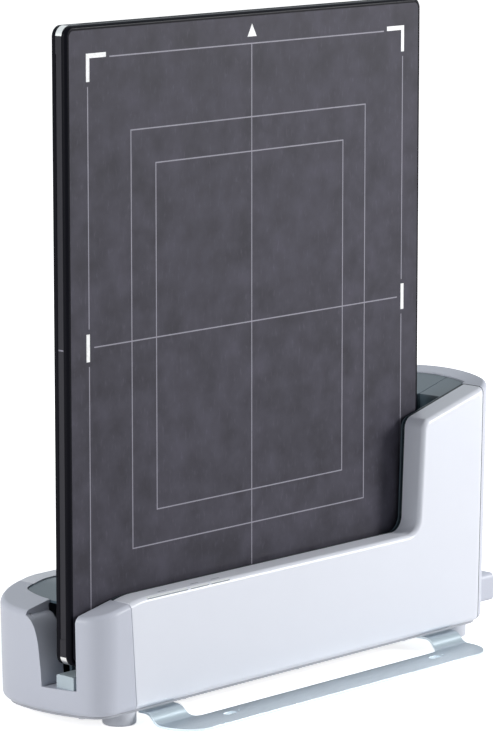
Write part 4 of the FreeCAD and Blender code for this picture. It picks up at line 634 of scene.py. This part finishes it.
class DETECTOR_OT_side_ticks(Operator):
    """Print the small centre ticks on the side band"""

    bl_idname = "detector.side_ticks"
    bl_label = "Side ticks"

    def execute(self, context):
        low, high = box_of("side_band")
        middle_x, middle_z = (low.x + high.x) / 2, (low.z + high.z) / 2
        middle_y = (low.y + high.y) / 2
        depth = 0.06 * MM

        def build(shape):
            for x in (low.x, high.x):
                add_block(
                    shape,
                    (x - depth, middle_y - 2.4 * MM, middle_z - 0.5 * MM),
                    (x + depth, middle_y + 2.4 * MM, middle_z + 0.5 * MM),
                )
            add_block(
                shape,
                (middle_x - 0.5 * MM, middle_y - 2.4 * MM, high.z - depth),
                (middle_x + 0.5 * MM, middle_y + 2.4 * MM, high.z + depth),
            )

        add_piece("side_ticks", mesh_from("side_ticks", build), "band_dark", "detector", material=finish("line_ink"))
        return {"FINISHED"}


# The detector's hardware


def paint_legs(piece, corner, reach):
    """Paint a guard's legs like the band, and leave it bright near its corner."""
    shape = bmesh.new()
    shape.from_mesh(piece.data)
    middle_x, middle_z, _ = sheet_plane()
    cut_x = corner[0] + math.copysign(reach, middle_x - corner[0])
    cut_z = corner[1] + math.copysign(reach, middle_z - corner[1])
    for place, normal in (((cut_x, 0, 0), (1, 0, 0)), ((0, 0, cut_z), (0, 0, 1))):
        parts = shape.verts[:] + shape.edges[:] + shape.faces[:]
        bmesh.ops.bisect_plane(shape, geom=parts, plane_co=place, plane_no=normal)
    for face in shape.faces:
        middle = face.calc_center_median()
        far = max(abs(middle.x - corner[0]), abs(middle.z - corner[1]))
        face.material_index = 1 if far > reach else 0
    shape.to_mesh(piece.data)
    shape.free()
    piece.data.materials.append(finish("band_dark"))


class DETECTOR_OT_frame(Operator):
    """Finish the rims, the side band and the corner guards with soft edges"""

    bl_idname = "detector.frame_finish"
    bl_label = "Frame and guards"

    def execute(self, context):
        edge = settings("rounding_settings").frame_edge
        for node in ("front_rim", "rear_rim", "side_band"):
            refine(node + "_finished", node, edge if node != "front_rim" else 0)
        for level in ("bottom", "top"):
            for side in ("left", "right"):
                node = f"corner_guard_{level}_{side}"
                low, high = box_of(node)
                corner = (low.x if side == "left" else high.x, low.z if level == "bottom" else high.z)
                paint_legs(refine(node + "_finished", node, edge), corner, 7 * MM)
        return {"FINISHED"}


class DETECTOR_OT_button(Operator):
    """Finish the power button with soft edges"""

    bl_idname = "detector.button_finish"
    bl_label = "Power button"

    def execute(self, context):
        refine("power_button_finished", "power_button", 0.25 * MM)
        return {"FINISHED"}


class DETECTOR_OT_side_lamps(Operator):
    """Give each small side lamp a domed face"""

    bl_idname = "detector.side_lamps"
    bl_label = "Side lamps"

    def execute(self, context):
        def build(shape):
            for low, high in islands("side_lamps"):
                middle = (low + high) / 2
                radius = (high.z - low.z) / 2
                place = Matrix.Translation((low.x, middle.y, middle.z)) @ Matrix.Rotation(math.pi / 2, 4, "Y")
                tall = high.x - low.x
                dome = [(0, 0), (radius, 0), (radius, tall - 0.5 * MM)]
                for step in range(1, 6):
                    turn = math.pi / 2 * step / 5
                    dome.append((radius * math.cos(turn) if step < 5 else 0, tall - 0.5 * MM + 0.5 * MM * math.sin(turn)))
                add_turned(shape, dome, place, 24)

        mesh = mesh_from("side_lamp_domes", build)
        smooth(mesh, 40)
        add_piece("side_lamp_domes", mesh, "lamp_clear", "detector", ("side_lamps",))
        return {"FINISHED"}


class DETECTOR_OT_rear_screws(Operator):
    """Give the small screws round the detector's back their sockets"""

    bl_idname = "detector.rear_screws"
    bl_label = "Rear screws"

    def execute(self, context):
        def build(shape):
            for low, high in islands("rear_screws"):
                middle = (low + high) / 2
                radius = (high.x - low.x) / 2
                place = Matrix.Translation((middle.x, high.y - 1.4 * MM, middle.z)) @ Matrix.Rotation(math.pi / 2, 4, "X")
                add_socket_screw(shape, place, radius, 1.4 * MM, 0.75 * MM, high.y - low.y - 1.4 * MM, 0.7 * MM)

        mesh = mesh_from("rear_screws_finished", build)
        smooth(mesh, 32)
        add_piece("rear_screws_finished", mesh, "screw_steel", "detector", ("rear_screws",))
        return {"FINISHED"}


# The cradle


FLARE = ((3.6, 0), (4.4, 12), (5.6, 24), (6.6, 32), (8, 38), (10, 43), (12.4, 46.6), (15.4, 49.2), (19, 50.6))


def add_flare_wall(shape, left, back, floor):
    """The curved wall behind the widened slot, from just inside the cap's shell to the liner."""
    tree = BVHTree.FromBMesh(shape)
    rows = []
    for y, z in (*FLARE, FLARE[-1]):
        start = 1 + max(0, z - 42) * 0.55
        row = []
        for x, offset in ((start, 0), (24, 0), (24, 1.5), (start, 1.5)):
            place = Vector((left + x * MM, back + (y + offset + 0.06) * MM, floor + z * MM))
            if len(rows) == len(FLARE):
                above = Vector((place.x, back + (y + 2) * MM, 0.2))
                place.z = tree.ray_cast(above, Vector((0, 0, -1)))[0].z - 0.6 * MM
            row.append(shape.verts.new(place))
        rows.append(row)
    faces = [shape.faces.new(rows[0]), shape.faces.new(rows[-1])]
    for lower, upper in zip(rows, rows[1:]):
        for i in range(4):
            j = (i + 1) % 4
            faces.append(shape.faces.new((lower[i], lower[j], upper[j], upper[i])))
    bmesh.ops.recalc_face_normals(shape, faces=faces)


def flare_slot(piece):
    """Widen the left end cap's slot towards its top, behind the detector."""
    rail_low, rail_high = box_of("seat_rail")
    back, floor = rail_high.y + 6 * MM, rail_low.z
    outline = [(-1, 0), *FLARE, (19, 60), (-1, 60)]
    low, _ = box_of("left_end_cap")
    cutter = bpy.data.meshes.new("slot_flare")
    shape = bmesh.new()
    ends = []
    for x in (low.x - 5 * MM, low.x + 27 * MM):
        ends.append([shape.verts.new((x, back + y * MM, floor + z * MM)) for y, z in outline])
    shape.faces.new(ends[0])
    shape.faces.new(ends[1])
    for i in range(len(outline)):
        j = (i + 1) % len(outline)
        shape.faces.new((ends[0][i], ends[0][j], ends[1][j], ends[1][i]))
    bmesh.ops.recalc_face_normals(shape, faces=shape.faces)
    shape.to_mesh(cutter)
    tool = bpy.data.objects.new("slot_flare", cutter)
    bpy.context.collection.objects.link(tool)
    bare = bpy.data.objects.new("bare_cap", piece.data)
    bpy.context.collection.objects.link(bare)
    cut = bare.modifiers.new("cut", "BOOLEAN")
    cut.object = tool
    cut.solver = "EXACT"
    bpy.context.view_layer.update()
    carved = bpy.data.meshes.new_from_object(bare.evaluated_get(bpy.context.evaluated_depsgraph_get()))
    bpy.data.objects.remove(bare)
    bpy.data.objects.remove(tool)
    carved.materials.clear()
    carved.materials.append(finish("cap_grey"))
    shape.free()
    shape = bmesh.new()
    shape.from_mesh(carved)
    add_flare_wall(shape, low.x, back, floor)
    shape.to_mesh(carved)
    shape.free()
    piece.data = carved
    smooth(carved, 31)


def paint_seam_and_lip_shade(piece, seams, lip, lip_end):
    """Paint shade, near black, on the walls inside the seams, and on the front cover's walls along the slot's edge,
    where it stands for the liner's dark edge and the shade over it.
    """
    shape = bmesh.new()
    shape.from_mesh(piece.data)
    if lip:
        parts = shape.verts[:] + shape.edges[:] + shape.faces[:]
        bmesh.ops.bisect_plane(shape, geom=parts, plane_co=(0, lip, 0), plane_no=(0, 1, 0))
    for face in shape.faces:
        middle = face.calc_center_median()
        at_seam = abs(face.normal.x) > 0.99 and min(abs(middle.x - seam) for seam in seams) < 0.8 * MM
        on_lip = lip and lip < middle.y < lip_end and abs(face.normal.y) < 0.5 and middle.z > 60 * MM
        if at_seam or on_lip:
            # Both kinds of face get the near-black material: painted shade in the seams, and painted shade over the
            # liner's edge on the lip.
            face.material_index = 1
    shape.to_mesh(piece.data)
    shape.free()
    # The second material is near-black painted shade.
    piece.data.materials.append(finish("seam_and_lip_painted_shade"))


class CRADLE_OT_housing(Operator):
    """Finish the covers, end caps and liner with soft edges"""

    bl_idname = "cradle.housing_finish"
    bl_label = "Housing and liner"

    def execute(self, context):
        edge = settings("rounding_settings").shell_edge
        cover_low, cover_high = box_of("front_cover")
        lip = box_of("front_liner")[0].y - 3.2 * MM
        for node in ("front_cover", "rear_cover", "left_end_cap", "right_end_cap", "front_liner", "rear_liner"):
            piece = refine(node + "_finished", node, edge)
            if node == "left_end_cap":
                flare_slot(piece)
            # The covers and end caps get painted shade in their seams, and the front cover also gets it along its lip.
            if "liner" not in node:
                paint_seam_and_lip_shade(piece, (cover_low.x, cover_high.x), lip if node == "front_cover" else None, cover_high.y)
        return {"FINISHED"}


class CRADLE_OT_rim_ticks(Operator):
    """Print a small grey tick above each lamp on the cradle's rim, and paint a grey shadow line under each lamp's lens
    """

    bl_idname = "cradle.rim_ticks"
    bl_label = "Rim ticks"

    def execute(self, context):
        def build(shape):
            for side in ("left", "middle", "right"):
                low, high = box_of(f"lamp_lens_{side}")
                middle = (low.x + high.x) / 2
                half = min(4.5 * MM, 0.22 * (high.x - low.x))
                y, level = low.y + 5.2 * MM, 95 * MM
                add_block(
                    shape, (middle - half, y, level - 0.04 * MM), (middle + half, y + 0.9 * MM, level + 0.04 * MM)
                )
                # The painted shadow line under a lamp lies on the rim's slanting flat, from the lens's lower edge down.
                slant = [(low.y, 93.6 * MM), (low.y - 0.6 * MM, 93 * MM)]
                ends = []
                for x in (low.x, high.x):
                    over = [(x, y - 0.04 * MM, z + 0.04 * MM) for y, z in slant]
                    under = [(x, y + 0.04 * MM, z - 0.04 * MM) for y, z in reversed(slant)]
                    ends.append([shape.verts.new(place) for place in over + under])
                shape.faces.new(ends[0])
                shape.faces.new(ends[1])
                for i in range(4):
                    j = (i + 1) % 4
                    shape.faces.new((ends[0][i], ends[0][j], ends[1][j], ends[1][i]))

        # One grey material serves both the printed ticks and the painted shadow lines under the lenses.
        add_piece("rim_ticks_and_lens_shadows", mesh_from("rim_ticks_and_lens_shadows", build), "cover_white", "cradle", material=finish("tick_ink_and_painted_lens_shadow"))
        return {"FINISHED"}


class CRADLE_OT_foot_plate(Operator):
    """Finish the bent metal foot plate with soft edges, and paint a highlight on its upright edge faces in a brighter
    copy of its metal
    """

    bl_idname = "cradle.foot_plate_finish"
    bl_label = "Foot plate"

    def execute(self, context):
        piece = refine("foot_plate_finished", "foot_plate", settings("rounding_settings").metal_edge)
        # A brighter copy of the plate's metal on the upright edge faces: a painted highlight.
        piece.data.materials.append(finish("plate_edge_painted_highlight"))
        for face in piece.data.polygons:
            if abs(face.normal.z) < 0.3:
                face.material_index = 1
        return {"FINISHED"}


class CRADLE_OT_feet(Operator):
    """Turn the four rubber feet, rounded where they meet the floor"""

    bl_idname = "cradle.feet"
    bl_label = "Rubber feet"

    def execute(self, context):
        rounding = settings("rounding_settings").foot_edge
        for level in ("front", "rear"):
            for side in ("left", "right"):
                node = f"foot_{level}_{side}"
                low, high = box_of(node)
                middle = (low + high) / 2
                radius = (high.x - low.x) / 2

                def build(shape):
                    place = Matrix.Translation((middle.x, middle.y, 0))
                    add_turned(shape, rounded_profile(radius, low.z, high.z, rounding), place, 56)

                mesh = mesh_from(node + "_turned", build)
                smooth(mesh, 40)
                add_piece(node + "_turned", mesh, "foot_rubber", "cradle", (node,))
        return {"FINISHED"}


class CRADLE_OT_seat(Operator):
    """Finish the seat rail and mould the two rubber pads on it"""

    bl_idname = "cradle.seat"
    bl_label = "Seat rail and pads"

    def execute(self, context):
        refine("seat_rail_finished", "seat_rail", 0.2 * MM)
        for side in ("left", "right"):
            node = f"seat_pad_{side}"
            low, high = box_of(node)

            def build(shape):
                add_block(shape, low, high)

            piece = add_piece(node + "_moulded", mesh_from(node + "_moulded", build), "pad_rubber", "cradle", (node,))
            rounding = piece.modifiers.new("rounding", "BEVEL")
            rounding.width = 1.4 * MM
            rounding.segments = 4
            piece.data.shade_smooth()
        return {"FINISHED"}


class CRADLE_OT_tray_screws(Operator):
    """Give the screws under the cradle their domed heads and sockets"""

    bl_idname = "cradle.tray_screws"
    bl_label = "Screws under the cradle"

    def execute(self, context):
        for node in ("housing_screws", "foot_plate_screws"):

            def build(shape):
                for low, high in islands(node):
                    middle = (low + high) / 2
                    place = Matrix.Translation((middle.x, middle.y, low.z + 1.6 * MM))
                    radius = (high.x - low.x) / 2
                    add_socket_screw(shape, place, radius, 1.6 * MM, 0.48 * radius, high.z - low.z - 1.6 * MM, 0.42 * radius)

            mesh = mesh_from(node + "_finished", build)
            smooth(mesh, 32)
            add_piece(node + "_finished", mesh, "screw_steel", "cradle", (node,))
        return {"FINISHED"}


class CRADLE_OT_contacts(Operator):
    """Turn the charging pins with rounded tips"""

    bl_idname = "cradle.contacts"
    bl_label = "Charging pins"

    def execute(self, context):
        def build(shape):
            for low, high in islands("contact_pins"):
                middle = (low + high) / 2
                collar = (high.x - low.x) / 2
                tip = collar - 0.6 * MM
                tall = high.z - low.z
                profile = [(0, 0), (collar - 0.2 * MM, 0), (collar, 0.2 * MM), (collar, 5.5 * MM), (tip, 5.7 * MM)]
                for step in range(6):
                    turn = math.pi / 2 * step / 5
                    profile.append((tip * math.cos(turn) if step < 5 else 0, tall - tip + tip * math.sin(turn)))
                add_turned(shape, profile, Matrix.Translation((middle.x, middle.y, low.z)), 24)

        mesh = mesh_from("contact_pins_turned", build)
        smooth(mesh, 40)
        add_piece("contact_pins_turned", mesh, "contact_gold", "charging_pins", ("contact_pins",))
        return {"FINISHED"}


class CRADLE_OT_plain_nodes(Operator):
    """Give every piece that keeps its own shape its finish"""

    bl_idname = "cradle.plain_nodes"
    bl_label = "Finishes"

    def execute(self, context):
        for node, piece in frame["nodes"].items():
            material = finish(SLOT_OF_NODE[node])
            if not piece.material_slots:
                piece.data.materials.append(material)
            for slot in piece.material_slots:
                slot.material = material
        return {"FINISHED"}


# Studio


def add_lamp(name, place, target, size, power):
    lamp = bpy.data.lights.new(name, "AREA")
    lamp.shape = "DISK"
    lamp.size = size
    lamp.energy = power
    item = bpy.data.objects.new(name, lamp)
    item.location = place
    item.rotation_euler = (Vector(target) - Vector(place)).to_track_quat("-Z", "Y").to_euler()
    bpy.context.collection.objects.link(item)


def add_camera(studio):
    middle_x, middle_z, face = sheet_plane()
    yaw, pitch = studio.yaw, studio.pitch
    ahead = Vector((math.sin(yaw) * math.cos(pitch), math.cos(yaw) * math.cos(pitch), -math.sin(pitch)))
    right = Vector((math.cos(yaw), -math.sin(yaw), 0))
    up = right.cross(ahead)
    camera_data = bpy.data.cameras.new("camera")
    camera_data.lens = studio.lens
    camera_data.sensor_width = 36
    camera_data.clip_end = 50
    camera = bpy.data.objects.new("camera", camera_data)
    bpy.context.collection.objects.link(camera)
    middle = Vector((middle_x, face, middle_z))
    place = middle - ahead * studio.distance + right * studio.slide_right + up * studio.slide_up
    turn = Matrix((right, up, -ahead)).transposed().to_4x4()
    camera.matrix_world = Matrix.Translation(place) @ turn
    bpy.context.scene.camera = camera


def seen_directly(nodes, links):
    """One for rays from the camera, mirrors and glass, and zero for the light on the object."""
    path = nodes.new("ShaderNodeLightPath")
    total = path.outputs["Is Camera Ray"]
    for name in ("Is Glossy Ray", "Is Transmission Ray"):
        either = nodes.new("ShaderNodeMath")
        either.operation = "MAXIMUM"
        links.new(total, either.inputs[0])
        links.new(path.outputs[name], either.inputs[1])
        total = either.outputs["Value"]
    return total


def add_floor(studio):
    mesh = mesh_from("floor", lambda shape: bmesh.ops.create_grid(shape, x_segments=1, y_segments=1, size=14))
    floor = bpy.data.objects.new("floor", mesh)
    bpy.context.collection.objects.link(floor)
    floor.location.z = -0.05 * MM
    material = bpy.data.materials.new("floor_pale")
    material.use_nodes = True
    nodes, links = material.node_tree.nodes, material.node_tree.links
    nodes.remove(nodes["Principled BSDF"])
    matt = nodes.new("ShaderNodeBsdfDiffuse")
    matt.inputs["Color"].default_value = (0.92, 0.92, 0.93, 1)
    glow = nodes.new("ShaderNodeEmission")
    place = nodes.new("ShaderNodeTexCoord")
    away = nodes.new("ShaderNodeVectorMath")
    away.operation = "LENGTH"
    links.new(place.outputs["Object"], away.inputs[0])
    lift = nodes.new("ShaderNodeMapRange")
    lift.inputs["From Min"].default_value = 0.35
    lift.inputs["From Max"].default_value = 1.3
    lift.inputs["To Min"].default_value = studio.floor_lift
    lift.inputs["To Max"].default_value = 1
    links.new(away.outputs["Value"], lift.inputs["Value"])
    reach = nodes.new("ShaderNodeMath")
    reach.operation = "MULTIPLY"
    links.new(lift.outputs["Result"], reach.inputs[1])
    links.new(seen_directly(nodes, links), reach.inputs[0])
    links.new(reach.outputs["Value"], glow.inputs["Strength"])
    both = nodes.new("ShaderNodeAddShader")
    links.new(matt.outputs["BSDF"], both.inputs[0])
    links.new(glow.outputs["Emission"], both.inputs[1])
    links.new(both.outputs["Shader"], nodes["Material Output"].inputs["Surface"])
    mesh.materials.append(material)


def set_world(studio):
    world = bpy.data.worlds.new("plain_white")
    bpy.context.scene.world = world
    world.use_nodes = True
    nodes, links = world.node_tree.nodes, world.node_tree.links
    sky = nodes["Background"]
    sky.inputs["Color"].default_value = (0.88, 0.95, 1, 1)
    strength = nodes.new("ShaderNodeMapRange")
    strength.inputs["To Min"].default_value = studio.sky
    strength.inputs["To Max"].default_value = 1
    links.new(seen_directly(nodes, links), strength.inputs["Value"])
    links.new(strength.outputs["Result"], sky.inputs["Strength"])


class STUDIO_OT_stage(Operator):
    """Set the floor, the lamps, the white background and the camera"""

    bl_idname = "studio.stage"
    bl_label = "Studio"

    def execute(self, context):
        studio = settings("studio_settings")
        add_floor(studio)
        set_world(studio)
        target = (-0.02, 0, 0.22)
        add_lamp("front_lamp", (2.0, -2.0, 1.1), target, 1.1, studio.front_lamp)
        add_lamp("side_lamp", (-2.6, 0.5, 1.0), target, 1.6, studio.side_lamp)
        add_lamp("top_lamp", (0.2, 0.3, 2.8), target, 2.4, studio.top_lamp)
        add_camera(studio)
        context.scene.view_settings.view_transform = "Standard"
        return {"FINISHED"}


OPERATORS = (
    DETECTOR_OT_frame,
    DETECTOR_OT_button,
    DETECTOR_OT_side_lamps,
    DETECTOR_OT_rear_screws,
    DETECTOR_OT_field_lines,
    DETECTOR_OT_bold_marks,
    DETECTOR_OT_side_ticks,
    CRADLE_OT_housing,
    CRADLE_OT_rim_ticks,
    CRADLE_OT_foot_plate,
    CRADLE_OT_feet,
    CRADLE_OT_seat,
    CRADLE_OT_tray_screws,
    CRADLE_OT_contacts,
    CRADLE_OT_plain_nodes,
    STUDIO_OT_stage,
)
GROUPS = {
    "mark_settings": MarkSettings,
    "finish_settings": FinishSettings,
    "rounding_settings": RoundingSettings,
    "studio_settings": StudioSettings,
}


class VIEW3D_PT_detector(Panel):
    """Lists the settings and the steps that dress the detector and its cradle"""

    bl_idname = "VIEW3D_PT_detector"
    bl_label = "Detector and cradle"
    bl_space_type = "VIEW_3D"
    bl_region_type = "UI"
    bl_category = "Detector"

    def draw(self, context):
        for name, group in GROUPS.items():
            box = self.layout.box()
            box.label(text=group.__doc__)
            for key in group.__annotations__:
                box.prop(getattr(context.scene, name), key)
        for operator in OPERATORS:
            self.layout.operator(operator.bl_idname)


def register():
    for name, group in GROUPS.items():
        bpy.utils.register_class(group)
        setattr(bpy.types.Scene, name, PointerProperty(type=group))
    for item in (*OPERATORS, VIEW3D_PT_detector):
        bpy.utils.register_class(item)


def unregister():
    for item in reversed((*OPERATORS, VIEW3D_PT_detector)):
        bpy.utils.unregister_class(item)
    for name, group in reversed(GROUPS.items()):
        delattr(bpy.types.Scene, name)
        bpy.utils.unregister_class(group)


def main():
    register()
    for operator in OPERATORS:
        area, name = operator.bl_idname.split(".")
        getattr(getattr(bpy.ops, area), name)()


if __name__ == "__main__":
    main()
